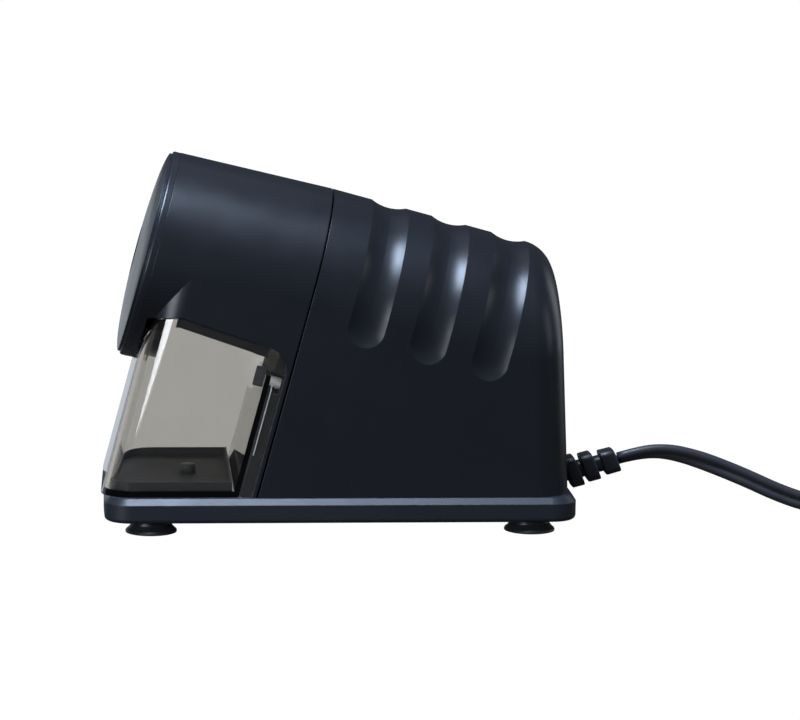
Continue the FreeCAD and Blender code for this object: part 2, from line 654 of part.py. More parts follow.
CARRIER_FRONT, CARRIER_BACK = 25.0, 57.0
front_disc = rod("carrier_front_disc", 12.8, 0, 0, CARRIER_FRONT, 27.4)
rear_disc = rod("carrier_rear_disc", 12.8, 0, 0, 53.4, CARRIER_BACK)
webs = [box(f"carrier_web_{n}", (-3.2, low, -CARRIER_BACK), 6.4, 4.6, CARRIER_BACK - CARRIER_FRONT, MACHINE)
        for n, low in enumerate((8.2, -12.8))]
pencil_way = rod("carrier_pencil_way", 4.8, 0, 0, CARRIER_FRONT - 1, 28)
shaft_seat = rod("carrier_shaft_seat", p.shaft_radius, 0, 0, 55.2, 60)


def cutter_frame(side):
    """Frame of one cutter: its local Z leans out along its pin, from a point beside the ring gear."""
    mid_ring = p.ring_front + p.ring_thick / 2
    lean = Rotation(Vector(0, 1, 0), side * p.cutter_lean)
    return MACHINE * Placement(Vector(side * p.cutter_offset, 0, -mid_ring), lean)


def cutter_rod(name, side, radius, front, back):
    """Round bar along a cutter's pin, between two depths from the ring gear's middle."""
    place = cutter_frame(side) * Placement(Vector(0, 0, -back), Rotation())
    return cylinder(name, radius, back - front, place)


SIDES = {"right": 1, "left": -1}
pin_front, pin_back = -4.2, 26.0
pin_ways = [cutter_rod("pin_way_" + name, side, f"pin_radius + {p.press_gap}", pin_front - 3, pin_back)
            for name, side in SIDES.items()]
cutter_rooms = [cutter_rod("cutter_room_" + name, side, 6.5, -1.9, 23.6) for name, side in SIDES.items()]
keep("cutter_carrier", cut("carrier_solid", join("carrier_join", front_disc, rear_disc, *webs),
                           pencil_way, shaft_seat, *pin_ways, *cutter_rooms))


def fluted(radius, depth, teeth, length, twist):
    """Milling cutter blank with slanting saw teeth, lofted through turned sections."""
    sections = []
    count = 5
    pit_radius = radius - depth
    for level in range(count):
        share = level / (count - 1)
        corners = []
        for number in range(teeth):
            start = twist * share + number * 2 * math.pi / teeth
            after = start + 0.62 * math.pi / teeth
            low = -length * share
            corners.append(Vector(radius * math.cos(start), radius * math.sin(start), low))
            corners.append(Vector(pit_radius * math.cos(after), pit_radius * math.sin(after), low))
        sections.append(Part.makePolygon(corners + corners[:1]))
    return Part.makeLoft(sections, True, True)


FLUTES, FLUTE_DEPTH, FLUTE_TWIST = 11, 1.0, 0.9
CUTTER_GEAR = 2.9
ring_middle = p.ring_front + p.ring_thick / 2
blank_front = (p.cutter_front - ring_middle) / math.cos(math.radians(p.cutter_lean))
blank_back = (p.cutter_back - ring_middle) / math.cos(math.radians(p.cutter_lean))
for name, side in SIDES.items():
    frame = cutter_frame(side)
    half_turn = 0.0 if side > 0 else math.pi
    teeth = tooth_outline(CUTTER_TEETH, p.ring_module, 0.7, 1.05, 0.09, half_turn)
    gear = Part.Face(teeth).extrude(Vector(0, 0, CUTTER_GEAR))
    gear.translate(Vector(0, 0, -CUTTER_GEAR / 2))
    blank = fluted(p.cutter_radius, FLUTE_DEPTH, FLUTES, blank_back - blank_front, side * FLUTE_TWIST)
    blank.translate(Vector(0, 0, -blank_front))
    neck = Part.makeCylinder(3.6, blank_front - 1.0, Vector(0, 0, -blank_front - 0.2))
    core = gear.fuse([neck, blank])
    core = core.cut(Part.makeCylinder(p.pin_radius + p.running_gap, 60, Vector(0, 0, -45)))
    keep("cutter_" + name, plain(f"cutter_{name}_solid", core, frame))
    pin = cutter_rod(f"cutter_pin_{name}_rod", side, "pin_radius", pin_front, pin_back - 0.6)
    keep("cutter_pin_" + name, pin)

shaft = turned("carrier_shaft_body", [
    (0, -55.2), (p.shaft_radius - p.press_gap, -55.2), (p.shaft_radius - p.press_gap, -74.6),
    (p.shaft_radius - 0.6, -75.2), (0, -75.2)], MACHINE)
keep("carrier_shaft", shaft)
BUSH_RADIUS = 6.5
BUSH_FLANGE = 9.0
bush_bore = p.shaft_radius + p.running_gap
bush = turned("carrier_bush_body", [
    (bush_bore, -60.6), (BUSH_FLANGE, -60.6), (BUSH_FLANGE, -p.plate_front), (BUSH_RADIUS, -p.plate_front),
    (BUSH_RADIUS, -66.0), (bush_bore, -66.0)], MACHINE)
keep("carrier_bush", bush)

carrier_gear = spur("carrier_gear_teeth", CARRIER_TEETH, carrier_turn, 67.2, 72.2, CARRIER_AT)
gear_hub = rod("carrier_gear_hub", 7.0, 0, 0, 66.4, 73.4)
WINDOW_RING = 13.0
lightening = []
for number in range(6):
    angle = number * math.pi / 3
    across, up = WINDOW_RING * math.cos(angle), WINDOW_RING * math.sin(angle)
    lightening.append(rod(f"gear_window_{number}", 3.6, across, up, 60, 80))
keep("carrier_gear", cut("carrier_gear_solid", join("carrier_gear_join", carrier_gear, gear_hub),
                         rod("carrier_gear_bore", p.shaft_radius, 0, 0, 60, 80), *lightening))
keep("gear_clip", cut("gear_clip_solid", rod("gear_clip_ring", 6.2, 0, 0, 73.5, 74.3),
                      rod("gear_clip_bore", p.shaft_radius, 0, 0, 70, 78)))

# ---------------------------------------------------------------------------------------------
# Gear plate, idler and motor
# ---------------------------------------------------------------------------------------------
PLATE_BACK = p.plate_front + p.plate_thick
plate_reach = inner_radius - 0.35
plate = arch("plate_arch", plate_reach, plate_reach, p.arch_depth, "plate_thick", PLATE_BACK)
plate = common("plate_trim", plate, box("above_plate_foot", (-80, -160, BASE_TOP + 0.2), 160, 320, 200))
POSTS = [(28.5, -50.5), (-28.5, -50.5), (28.0, -13.0)]
BRACKET_FRONT, BRACKET_BACK = 81.0, 83.0
PLUNGER_AT = (33.0, -30.6)
PIN_RADIUS = 2.0
plate_holes = [rod("plate_bush_hole", f"{BUSH_RADIUS} + press_gap", 0, 0, 60, 68),
               rod("plate_pin_hole", f"{PIN_RADIUS} + press_gap", *IDLER_AT, 60, 68),
               rod("plate_plunger_hole", 2.6, *PLUNGER_AT, 60, 68)]
plate_holes += [rod(f"plate_screw_hole_{n}", ACROSS_SCREW, x, up, 60, 68)
                for n, (x, up) in enumerate(POSTS + front_boss_spots)]
keep("gear_plate", cut("gear_plate_solid", plate, *plate_holes))


# Black wall that closes the machine behind the bin, open to the rear, with a window for the plunger.
BULKHEAD_FRONT = REAR_WALL_BACK + 0.8
BULKHEAD_HALF, BULKHEAD_TOP = 36.8, -19.5
BULKHEAD_WALL = 2.4
bulkhead_block = box("bulkhead_block", (-BULKHEAD_HALF, -95, -p.plate_front + 0.2), 2 * BULKHEAD_HALF,
                     95 + BULKHEAD_TOP, p.plate_front - 0.2 - BULKHEAD_FRONT, MACHINE)
inside_half = BULKHEAD_HALF - BULKHEAD_WALL
inside_front = BULKHEAD_FRONT + BULKHEAD_WALL
bulkhead_room = box("bulkhead_room", (-inside_half, -95, -p.plate_front), 2 * inside_half,
                    95 + BULKHEAD_TOP - BULKHEAD_WALL, p.plate_front - inside_front, MACHINE)
plunger_window = box("plunger_window", (PLUNGER_AT[0] - 3.6, PLUNGER_AT[1] - 3.6, -p.plate_front + 3.4), 10,
                     7.2, 8, MACHINE)
bulkhead_foot = box("bulkhead_foot", (-80, -160, BASE_TOP + 0.2), 160, 320, 200)
bulkhead = common("bulkhead_trim", bulkhead_block, bulkhead_foot)
keep("bin_bulkhead", cut("bin_bulkhead_solid", bulkhead, bulkhead_room, plunger_window,
                         rod("bulkhead_plunger_hole", 2.6, *PLUNGER_AT, 50, 64)))


def screw(name, across, up, head_back, length, radius, head_forward):
    """Pan head screw along the machine axis; its head faces the front or the rear."""
    head_high = 1.6
    if head_forward:
        top = length + head_high
        profile = [(0, 0), (radius, 0), (radius, length), (radius * 2, length), (radius * 1.7, top), (0, top)]
        return turned(name, profile, in_machine(across, up, head_back + length))
    tip = head_high + length
    head = [(0, 0), (radius * 1.7, 0), (radius * 2, head_high)]
    profile = head + [(radius, head_high), (radius, tip), (0, tip)]
    return turned(name, profile, in_machine(across, up, head_back + head_high))


def group(label, things):
    """Identical fasteners kept together as separate solids."""
    return keep(label, join(label + "_group", *things))


group("gear_plate_screws", [screw(f"plate_screw_{n}", x, up, PLATE_BACK, 12.0, PLATE_SCREW, False)
                            for n, (x, up) in enumerate(front_boss_spots)])
group("bracket_screws", [screw(f"bracket_screw_{n}", x, up, p.plate_front, 9.0, PLATE_SCREW, True)
                         for n, (x, up) in enumerate(POSTS)])

idler_big = spur("idler_big", IDLER_BIG_TEETH, big_turn, 73.8, 78.4, IDLER_AT)
idler_small = spur("idler_small", IDLER_SMALL_TEETH, small_turn, 66.4, 73.8, IDLER_AT)
keep("idler_gear", cut("idler_solid", join("idler_join", idler_big, idler_small),
                       rod("idler_bore", f"{PIN_RADIUS} + running_gap", *IDLER_AT, 60, 90)))
keep("idler_pin", rod("idler_pin_rod", PIN_RADIUS, *IDLER_AT, p.plate_front + 0.2, BRACKET_FRONT))

# Induction motor: a square stack between two pressed brackets, held by four tie screws.
motor_up = -p.motor_drop
TIE_RADIUS = 1.5
BEARING_RADIUS = 5.0
half_w, half_h = p.stack_width / 2, p.stack_height / 2
STACK_BACK = p.stack_front + p.stack_length
bracket_front = box("bracket_front_plate", (-33, motor_up - half_h - 1, -BRACKET_BACK), 66,
                    p.stack_height + 4, 2, MACHINE)
posts = [rod(f"bracket_post_{n}", 3.4, x, up, PLATE_BACK, BRACKET_BACK) for n, (x, up) in enumerate(POSTS)]
post_holes = [rod(f"bracket_post_hole_{n}", PLATE_SCREW + 0.05, x, up, PLATE_BACK - 1, PLATE_BACK + 9)
              for n, (x, up) in enumerate(POSTS)]
TIE_INSET = 3.2
tie_across, tie_up = half_w - TIE_INSET, half_h - TIE_INSET
TIE_SPOTS = [(sx * tie_across, motor_up + sy * tie_up) for sx in (1, -1) for sy in (1, -1)]


def tie_rods(tag, radius, front, back):
    """One round bar at each tie screw."""
    return [rod(f"{tag}_{n}", radius, x, up, front, back) for n, (x, up) in enumerate(TIE_SPOTS)]


spacers = tie_rods("front_spacer", 3.0, BRACKET_BACK, p.stack_front)
front_seat = rod("front_bearing_hole", f"{BEARING_RADIUS} + press_gap", *MOTOR_AT, 78, 86)
front_bracket = join("front_bracket_join", bracket_front, *posts, *spacers)
keep("motor_front_bracket", cut("front_bracket_solid", front_bracket, *post_holes, front_seat,
                                *tie_rods("front_tie", TIE_RADIUS + 0.1, 70, 95)))
REAR_BRACKET = STACK_BACK + 9
SHEET = 2.0
rear_plate = box("bracket_rear_plate", (-half_w, motor_up - half_h, -REAR_BRACKET - SHEET), 2 * half_w,
                 2 * half_h, SHEET, MACHINE)
rear_spacers = tie_rods("rear_spacer", 3.0, STACK_BACK, REAR_BRACKET)
rear_seat = rod("rear_bearing_hole", f"{BEARING_RADIUS} + press_gap", *MOTOR_AT, 115, 140)
keep("motor_rear_bracket", cut("rear_bracket_solid", join("rear_bracket_join", rear_plate, *rear_spacers),
                               rear_seat, *tie_rods("rear_tie", TIE_RADIUS + 0.1, STACK_BACK - 1, 140)))
BEARINGS = {"front": (BRACKET_FRONT - 1.0, BRACKET_BACK + 1.5),
            "rear": (REAR_BRACKET - 1.5, REAR_BRACKET + 3.0)}
for name, (front, back) in BEARINGS.items():
    ring = rod(f"bearing_{name}_ring", BEARING_RADIUS, *MOTOR_AT, front, back)
    bore = rod(f"bearing_{name}_bore", "rotor_shaft_radius + running_gap", *MOTOR_AT, front - 5, back + 5)
    keep(f"motor_{name}_bearing", cut(f"motor_{name}_bearing_solid", ring, bore))

stack = box("stack_block", (-half_w, motor_up - half_h, -STACK_BACK), "stack_width", "stack_height",
            "stack_length", MACHINE)
stack_bore = rod("stack_bore", "rotor_radius + air_gap", *MOTOR_AT, 80, 130)
WINDING_WIDTH, WINDING_HEIGHT, WINDING_OUT = 5.4, 21.6, 5.5
WINDOW_GAP = 0.4
windings = []
windows = []
for number, across in enumerate((14.0, -14.0 - WINDING_WIDTH)):
    corner = (across, motor_up - WINDING_HEIGHT / 2, -STACK_BACK - WINDING_OUT)
    windings.append(box(f"winding_{number}", corner, WINDING_WIDTH, WINDING_HEIGHT,
                        p.stack_length + 2 * WINDING_OUT, MACHINE))
    corner = (across - WINDOW_GAP, motor_up - WINDING_HEIGHT / 2 - WINDOW_GAP, -STACK_BACK - 1)
    windows.append(box(f"winding_window_{number}", corner, WINDING_WIDTH + 2 * WINDOW_GAP,
                       WINDING_HEIGHT + 2 * WINDOW_GAP, p.stack_length + 2, MACHINE))
keep("motor_stator", cut("stator_solid", stack, stack_bore, *windows,
                         *tie_rods("stack_tie", TIE_RADIUS + 0.1, 80, 130)))
keep("motor_coils", join("motor_coils_group", *windings))

tie_head = REAR_BRACKET + SHEET
tie_length = tie_head - BRACKET_FRONT + 2.5
group("motor_screws", [screw(f"motor_screw_{n}", x, up, tie_head, tie_length, TIE_RADIUS, False)
                       for n, (x, up) in enumerate(TIE_SPOTS)])
rotor_core = rod("rotor_core", "rotor_radius", *MOTOR_AT, p.stack_front, STACK_BACK)
END_RING = 2.6
end_rings = [rod(f"rotor_end_{n}", 10.6, *MOTOR_AT, front, front + END_RING)
             for n, front in enumerate((p.stack_front - END_RING, STACK_BACK))]
shaft_hole = rod("rotor_bore", "rotor_shaft_radius + press_gap", *MOTOR_AT, 60, 150)
keep("rotor", cut("rotor_solid", join("rotor_join", rotor_core, *end_rings), shaft_hole))
keep("rotor_shaft", rod("rotor_shaft_rod", "rotor_shaft_radius", *MOTOR_AT, 72.6, 144.0))
motor_pinion = spur("motor_pinion_teeth", PINION_TEETH, pinion_turn, 73.0, 79.4, MOTOR_AT)
keep("motor_pinion", cut("motor_pinion_solid", motor_pinion,
                         rod("pinion_bore", "rotor_shaft_radius + press_gap", *MOTOR_AT, 60, 90)))
fan_front, fan_back = 134.0, 142.0
FAN_BLADES = 8
fan_hub = rod("fan_hub", 6.0, *MOTOR_AT, fan_front, fan_back)
fan_disc = rod("fan_disc", 17.0, *MOTOR_AT, fan_front, fan_front + 1.4)
fan_blades = []
for number in range(FAN_BLADES):
    turn = Placement(Vector(*MOTOR_AT, 0), Rotation(Vector(0, 0, 1), 360 / FAN_BLADES * number))
    fan_blades.append(box(f"fan_blade_{number}", (4.5, -0.6, -fan_back), 12.3, 1.2,
                          fan_back - fan_front - 0.5, MACHINE * turn))
keep("cooling_fan", cut("fan_solid", join("fan_join", fan_hub, fan_disc, *fan_blades),
                        rod("fan_bore", "rotor_shaft_radius + press_gap", *MOTOR_AT, 120, 150)))

# ---------------------------------------------------------------------------------------------
# Switches: a lever lifted by the pencil, and a plunger pressed by the bin
# ---------------------------------------------------------------------------------------------
LEVER_PIVOT = (17.0, 21.5)
pivot_up, pivot_back = LEVER_PIVOT
lever_outline = [(-pivot_back - 2.2, pivot_up - 1.6), (-pivot_back - 2.2, pivot_up + 1.6),
                 (-10.4, pivot_up + 1.6), (-10.4, 4.6), (-11.8, 3.3), (-13.2, 3.3), (-14.2, 5.2),
                 (-14.2, pivot_up - 1.6)]
side_on = MACHINE * Placement(Vector(), Rotation(Vector(0, 1, 0), -90))
lever_body = padded("lever_block", lever_outline, 2.4, side_on, midplane=True)


def cross_rod(name, radius, up, back, half):
    """Round bar across the machine."""
    place = in_machine(-half, up, back, Rotation(Vector(0, 1, 0), 90))
    return cylinder(name, radius, 2 * half, place)


LEVER_PIN = 1.0
BRACKET_HALF = 4.6
CHEEK = 1.2
bracket_back = 27.9
keep("start_lever", cut("start_lever_solid", lever_body,
                        cross_rod("lever_bore", f"{LEVER_PIN} + running_gap", pivot_up, pivot_back, 5)))
keep("lever_pin", cross_rod("lever_pin_rod", LEVER_PIN, pivot_up, pivot_back, BRACKET_HALF + 0.2))
cheeks = [box(f"bracket_cheek_{n}", (x, 14.0, -bracket_back), CHEEK, 18.0, 9.5, MACHINE)
          for n, x in enumerate((BRACKET_HALF - CHEEK, -BRACKET_HALF))]
roof = box("bracket_roof", (-BRACKET_HALF, 30.4, -bracket_back), 2 * BRACKET_HALF, 1.6, 20.9, MACHINE)
foot = box("bracket_foot", (-BRACKET_HALF, 20.5, -bracket_back), 2 * BRACKET_HALF, 11.5, 1.5, MACHINE)
keep("switch_bracket", cut("switch_bracket_solid", join("switch_bracket_join", *cheeks, roof, foot),
                           cross_rod("bracket_bore", f"{LEVER_PIN} + press_gap", pivot_up, pivot_back, 6)))
keep("start_switch", box("start_switch_case", (-3.2, 21.6, -17.5), 6.4, 8.75, 10.0, MACHINE))
button_at = in_machine(0, 20.1, 12.0, Rotation(Vector(1, 0, 0), -90))
keep("switch_button", cylinder("switch_button_pin", 1.0, 1.5, button_at))

SPRING_RADIUS, SPRING_WIRE, SPRING_PITCH = 1.55, 0.18, 0.55
spring_turns = Part.Wire(Part.makeHelix(SPRING_PITCH, 1.9, SPRING_RADIUS))
spring_circle = Part.Wire(Part.makeCircle(SPRING_WIRE, Vector(SPRING_RADIUS, 0, 0), Vector(0, 1, 0)))
spring_solid = spring_turns.makePipeShell([spring_circle], True, True)
keep("lever_spring", plain("lever_spring_wire", spring_solid,
                           in_machine(1.35, pivot_up, pivot_back, Rotation(Vector(0, 1, 0), 90))))

plunger_tip = REAR_WALL_BACK + 0.4
plunger_rod = rod("plunger_rod", 2.2, *PLUNGER_AT, plunger_tip, 69.0)
plunger_collar = rod("plunger_collar", 3.4, *PLUNGER_AT, 66.0, 67.4)
keep("interlock_plunger", join("interlock_plunger_solid", plunger_rod, plunger_collar))
switch_room = rod("interlock_room", 3.8, *PLUNGER_AT, PLATE_BACK - 1, 73.2)
switch_back = 76.0
switch_case = box("interlock_case", (27.4, -38.2, -switch_back), 9.0, 14.0, switch_back - PLATE_BACK, MACHINE)
keep("interlock_switch", cut("interlock_switch_solid", switch_case, switch_room))

# ---------------------------------------------------------------------------------------------
# Housing screws, from under the base into the rear housing's bosses
# ---------------------------------------------------------------------------------------------
screw_low = p.base_bottom + 1.2
SCREW_HEAD, SCREW_LENGTH = 1.8, 20.0
SCREW_PROFILE = [
    (0, screw_low), (2.9, screw_low), (3.1, screw_low + SCREW_HEAD), (SCREW_RADIUS, screw_low + SCREW_HEAD),
    (SCREW_RADIUS, screw_low + SCREW_LENGTH), (0, screw_low + SCREW_LENGTH)]
group("housing_screws", [turned(f"housing_screw_{n}", SCREW_PROFILE, Placement(Vector(x, y, 0), Rotation()))
                         for n, (x, y) in enumerate(SCREW_SPOTS, start=1)])

# ---------------------------------------------------------------------------------------------
# Strain relief: three soft collars on a thin neck, leaning up to the rear
# ---------------------------------------------------------------------------------------------
def soft_block(name, wide, high, start, length):
    """Rounded block on the relief's axis; its height is across the axis in the side view."""
    block = box(name + "_block", (-wide / 2, -high / 2, start), wide, high, length, RELIEF)
    axis = RELIEF.Rotation.multVec(Vector(0, 0, 1))
    return rounded(name, block, min(wide, high) * 0.3, lambda e: along(e, axis))


# Width, height, start and length of each collar along the relief's axis.
COLLARS = [(11.0, 12.3, 9.6, 4.6), (10.2, 11.2, 16.0, 5.0), (9.4, 9.6, 23.6, 6.0)]
collars = [soft_block(f"relief_collar_{n}", wide, high, start, length)
           for n, (wide, high, start, length) in enumerate(COLLARS)]
NECK = 6.6
relief_neck = soft_block("relief_neck", NECK, NECK, 2.0, RELIEF_LENGTH - 2.4)
keep("strain_relief", join("strain_relief_solid", relief_neck, *collars))

# ---------------------------------------------------------------------------------------------
# Cord: straight runs joined by tangent arcs, then the outer shape of its coil, and the plug
# ---------------------------------------------------------------------------------------------
CORD_ROUTE = [
    (0.0, 109.8, 21.3), (0.2, 119.0, 23.9), (0.8, 129.0, 24.3), (1.8, 139.5, 21.9), (3.0, 150.0, 18.2),
    (4.6, 161.0, 13.8), (6.4, 172.0, 8.9), (8.2, 184.0, 4.9), (9.6, 197.0, 3.8), (10.0, 210.0, 3.7),
]
COIL_CENTRE = (50.0, 221.0)


def cord_path(points):
    """Wire of runs and tangent arcs, each arc as large as its two runs allow."""
    points = [Vector(*q) for q in points]
    edges = []
    radii = []
    here = points[0]
    for before, corner, after in zip(points, points[1:], points[2:]):
        way_in, way_out = (corner - before).normalize(), (after - corner).normalize()
        turn = math.acos(max(-1.0, min(1.0, way_in.dot(way_out))))
        reach = 0.45 * min(before.distanceToPoint(corner), corner.distanceToPoint(after))
        radius = reach / math.tan(turn / 2)
        radii.append(round(radius, 1))
        start, end = corner - way_in * reach, corner + way_out * reach
        bisector = (way_out - way_in).normalize()
        centre = corner + bisector * (radius / math.cos(turn / 2))
        middle = centre - bisector * radius
        edges.append(Part.LineSegment(here, start).toShape())
        edges.append(Part.Arc(start, middle, end).toShape())
        here = end
    edges.append(Part.LineSegment(here, points[-1]).toShape())
    print("cord radii", radii)
    return Part.Wire(edges)


route = cord_path(CORD_ROUTE)
cord_radius = p.cord_width / 2
first_way = (Vector(*CORD_ROUTE[1]) - Vector(*CORD_ROUTE[0])).normalize()
cord_ring = Part.Wire(Part.makeCircle(cord_radius, Vector(*CORD_ROUTE[0]), first_way))
cord_solid = route.makePipeShell([cord_ring], True, False)
print("cord volume", round(cord_solid.Volume, 1), "section times length",
      round(math.pi * cord_radius ** 2 * route.Length, 1), "length", round(route.Length, 1))
keep("cord", plain("cord_tube", cord_solid))

coil_outer = p.coil_radius + p.coil_spread
coil_inner = p.coil_radius - p.coil_spread
coil_at = Placement(Vector(*COIL_CENTRE, 0), Rotation())
COIL_EDGE = 1.5
COIL_LOW = 0.05
keep("cord_coil", turned("cord_coil_ring", [
    (coil_inner, COIL_EDGE), (coil_inner + COIL_EDGE, COIL_LOW), (coil_outer - COIL_EDGE, COIL_LOW),
    (coil_outer, COIL_EDGE), (coil_outer, p.coil_height - COIL_EDGE), (coil_outer - COIL_EDGE, p.coil_height),
    (coil_inner + COIL_EDGE, p.coil_height), (coil_inner, p.coil_height - COIL_EDGE)], coil_at))

# The plug lies on the coil's far side, its blades pointing along X.
PLUG_LENGTH, PLUG_WIDTH, PLUG_HEIGHT = 26.0, 18.0, 12.0
BLADE_LENGTH, BLADE_THICK, BLADE_HEIGHT, BLADE_SPACING = 16.0, 1.5, 6.4, 12.7
plug_middle = Vector(COIL_CENTRE[0] - PLUG_LENGTH / 2, COIL_CENTRE[1] + p.coil_radius,
                     p.coil_height + PLUG_HEIGHT / 2)
plug_corner = plug_middle - Vector(0, PLUG_WIDTH / 2, PLUG_HEIGHT / 2)
plug_block = box("plug_block", plug_corner, PLUG_LENGTH, PLUG_WIDTH, PLUG_HEIGHT)
plug_round = rounded("plug_round", plug_block, 3.0, lambda e: along(e, Vector(1, 0, 0)))
neck_at = Placement(plug_middle - Vector(9.0, 0, 0), Rotation(Vector(0, 1, 0), 90))
keep("plug_body", join("plug_body_solid", plug_round, cylinder("plug_neck", 4.2, 10.0, neck_at)))
plug_blades = []
for number, side in enumerate((-1, 1)):
    corner = plug_middle + Vector(PLUG_LENGTH, side * BLADE_SPACING / 2 - BLADE_THICK / 2, -BLADE_HEIGHT / 2)
    plug_blades.append(box(f"plug_blade_{number}", corner, BLADE_LENGTH, BLADE_THICK, BLADE_HEIGHT))
group("plug_blades", plug_blades)

# ---------------------------------------------------------------------------------------------
# Check every object, then write each sub-part
# ---------------------------------------------------------------------------------------------
doc.recompute()
bad = [thing.Name for thing in doc.Objects if {"Invalid", "Error"} & set(thing.State)]
if bad:
    raise RuntimeError("failed objects: " + ", ".join(bad))
os.makedirs("parts", exist_ok=True)
for label, thing in parts.items():
    shape = thing.Shape
    if shape.isNull() or not shape.isValid() or shape.Volume < 0.01:
        raise RuntimeError("bad shape: " + label)
    shape.exportStep(f"parts/{label}.step")
    bounds = shape.BoundBox
    print(f"{label:26s} solids {len(shape.Solids)} volume {shape.Volume:10.1f}"
          f"  x {bounds.XMin:7.1f} {bounds.XMax:7.1f}  y {bounds.YMin:7.1f} {bounds.YMax:7.1f}"
          f"  z {bounds.ZMin:7.1f} {bounds.ZMax:7.1f}")
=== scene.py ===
"""Looks of the electric desktop pencil sharpener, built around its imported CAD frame."""
import json
import math
from itertools import product

import bmesh
import bpy
from mathutils import Matrix, Vector


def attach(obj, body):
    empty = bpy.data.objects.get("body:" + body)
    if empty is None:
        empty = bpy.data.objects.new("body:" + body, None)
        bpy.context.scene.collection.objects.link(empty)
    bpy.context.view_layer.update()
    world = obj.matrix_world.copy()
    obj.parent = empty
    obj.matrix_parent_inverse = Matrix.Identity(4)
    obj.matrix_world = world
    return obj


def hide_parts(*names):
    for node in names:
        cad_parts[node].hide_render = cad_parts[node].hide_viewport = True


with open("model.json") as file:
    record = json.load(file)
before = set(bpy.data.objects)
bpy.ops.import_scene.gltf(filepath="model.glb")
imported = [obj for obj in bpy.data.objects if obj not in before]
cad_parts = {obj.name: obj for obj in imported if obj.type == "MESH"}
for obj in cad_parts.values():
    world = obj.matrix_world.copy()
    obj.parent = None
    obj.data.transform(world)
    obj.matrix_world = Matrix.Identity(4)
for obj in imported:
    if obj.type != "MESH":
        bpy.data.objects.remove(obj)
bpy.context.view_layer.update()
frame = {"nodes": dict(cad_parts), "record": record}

scene = bpy.context.scene
nodes = frame["nodes"]
MM = 0.001

# ---------------------------------------------------------------------------------------------
# Machine frame: across, up the drum's face, and back along the pencil, in millimetres
# ---------------------------------------------------------------------------------------------
TILT = math.radians(14.8)
FACE = Vector((0.0, -72.75, 100.45))
UP = Vector((0.0, math.sin(TILT), math.cos(TILT)))
BACK = Vector((0.0, math.cos(TILT), -math.sin(TILT)))
ACROSS = Vector((1.0, 0.0, 0.0))


def at(across, up, back):
    """World point in metres of a point in the machine frame in millimetres."""
    return (FACE + ACROSS * across + UP * up + BACK * back) * MM


def link_object(name, data):
    """New object of the scene that shows the data."""
    thing = bpy.data.objects.new(name, data)
    scene.collection.objects.link(thing)
    return thing


# ---------------------------------------------------------------------------------------------
# Camera
# ---------------------------------------------------------------------------------------------
EYE = Vector((1.0, -0.073, 0.204))
AIM = Vector((0.0, 0.024166, 0.059833))
ROLL = math.radians(0.883)
camera_data = bpy.data.cameras.new("camera")
camera_data.sensor_width = 36.0
camera_data.lens = 118.84
camera = link_object("camera", camera_data)
ahead = (AIM - EYE).normalized()
level = ahead.cross(Vector((0, 0, 1))).normalized()
over = level.cross(ahead)
right = level * math.cos(ROLL) + over * math.sin(ROLL)
top = over * math.cos(ROLL) - level * math.sin(ROLL)
camera.matrix_world = Matrix((
    (right.x, top.x, -ahead.x, EYE.x),
    (right.y, top.y, -ahead.y, EYE.y),
    (right.z, top.z, -ahead.z, EYE.z),
    (0, 0, 0, 1)))
camera_data.clip_start = 0.05
camera_data.clip_end = 60
scene.camera = camera
scene.view_settings.view_transform = "Standard"
scene.view_settings.look = "None"


# ---------------------------------------------------------------------------------------------
# Mesh helpers
# ---------------------------------------------------------------------------------------------
def mesh_object(name, verts, faces, smooth=True):
    data = bpy.data.meshes.new(name)
    data.from_pydata([tuple(v) for v in verts], [], faces)
    data.update()
    if smooth:
        data.polygons.foreach_set("use_smooth", [True] * len(data.polygons))
    return link_object(name, data)


def bmesh_object(name, work):
    """Object made from a finished bmesh, which is freed."""
    data = bpy.data.meshes.new(name)
    work.to_mesh(data)
    work.free()
    return link_object(name, data)


def round_edges(thing, width, segments=2, sharp_from=30):
    """Bevel in millimetres on every edge sharper than an angle in degrees."""
    bevel = thing.modifiers.new("edges", "BEVEL")
    bevel.width = width * MM
    bevel.segments = segments
    bevel.limit_method = "ANGLE"
    bevel.angle_limit = math.radians(sharp_from)


def rounded_rectangle(wide, high, corner, per_corner=6):
    """Outline of a rectangle with round corners, about its middle."""
    outline = []
    for side, rise, first in ((1, 1, 0), (-1, 1, 90), (-1, -1, 180), (1, -1, 270)):
        for k in range(per_corner):
            angle = math.radians(first + 90 * k / (per_corner - 1))
            outline.append((side * (wide / 2 - corner) + corner * math.cos(angle),
                            rise * (high / 2 - corner) + corner * math.sin(angle)))
    return outline


def ease(share):
    """Smooth step between 0 and 1."""
    return share * share * (3 - 2 * share)


def loft(name, rings, close_ends=True):
    """Skin over closed rings of equally many points."""
    count = len(rings[0])
    verts = [p for ring in rings for p in ring]
    faces = []
    for level_number in range(len(rings) - 1):
        low, high = level_number * count, (level_number + 1) * count
        for k in range(count):
            n = (k + 1) % count
            faces.append((low + k, low + n, high + n, high + k))
    if close_ends:
        faces.append(tuple(reversed(range(count))))
        last = (len(rings) - 1) * count
        faces.append(tuple(range(last, last + count)))
    return mesh_object(name, verts, faces)


def read_line(curve):
    """The points of a curve without bevel, in order."""
    graph = bpy.context.evaluated_depsgraph_get()
    line = bpy.data.meshes.new_from_object(curve.evaluated_get(graph))
    points = [v.co.copy() for v in line.vertices]
    bpy.data.meshes.remove(line)
    return points


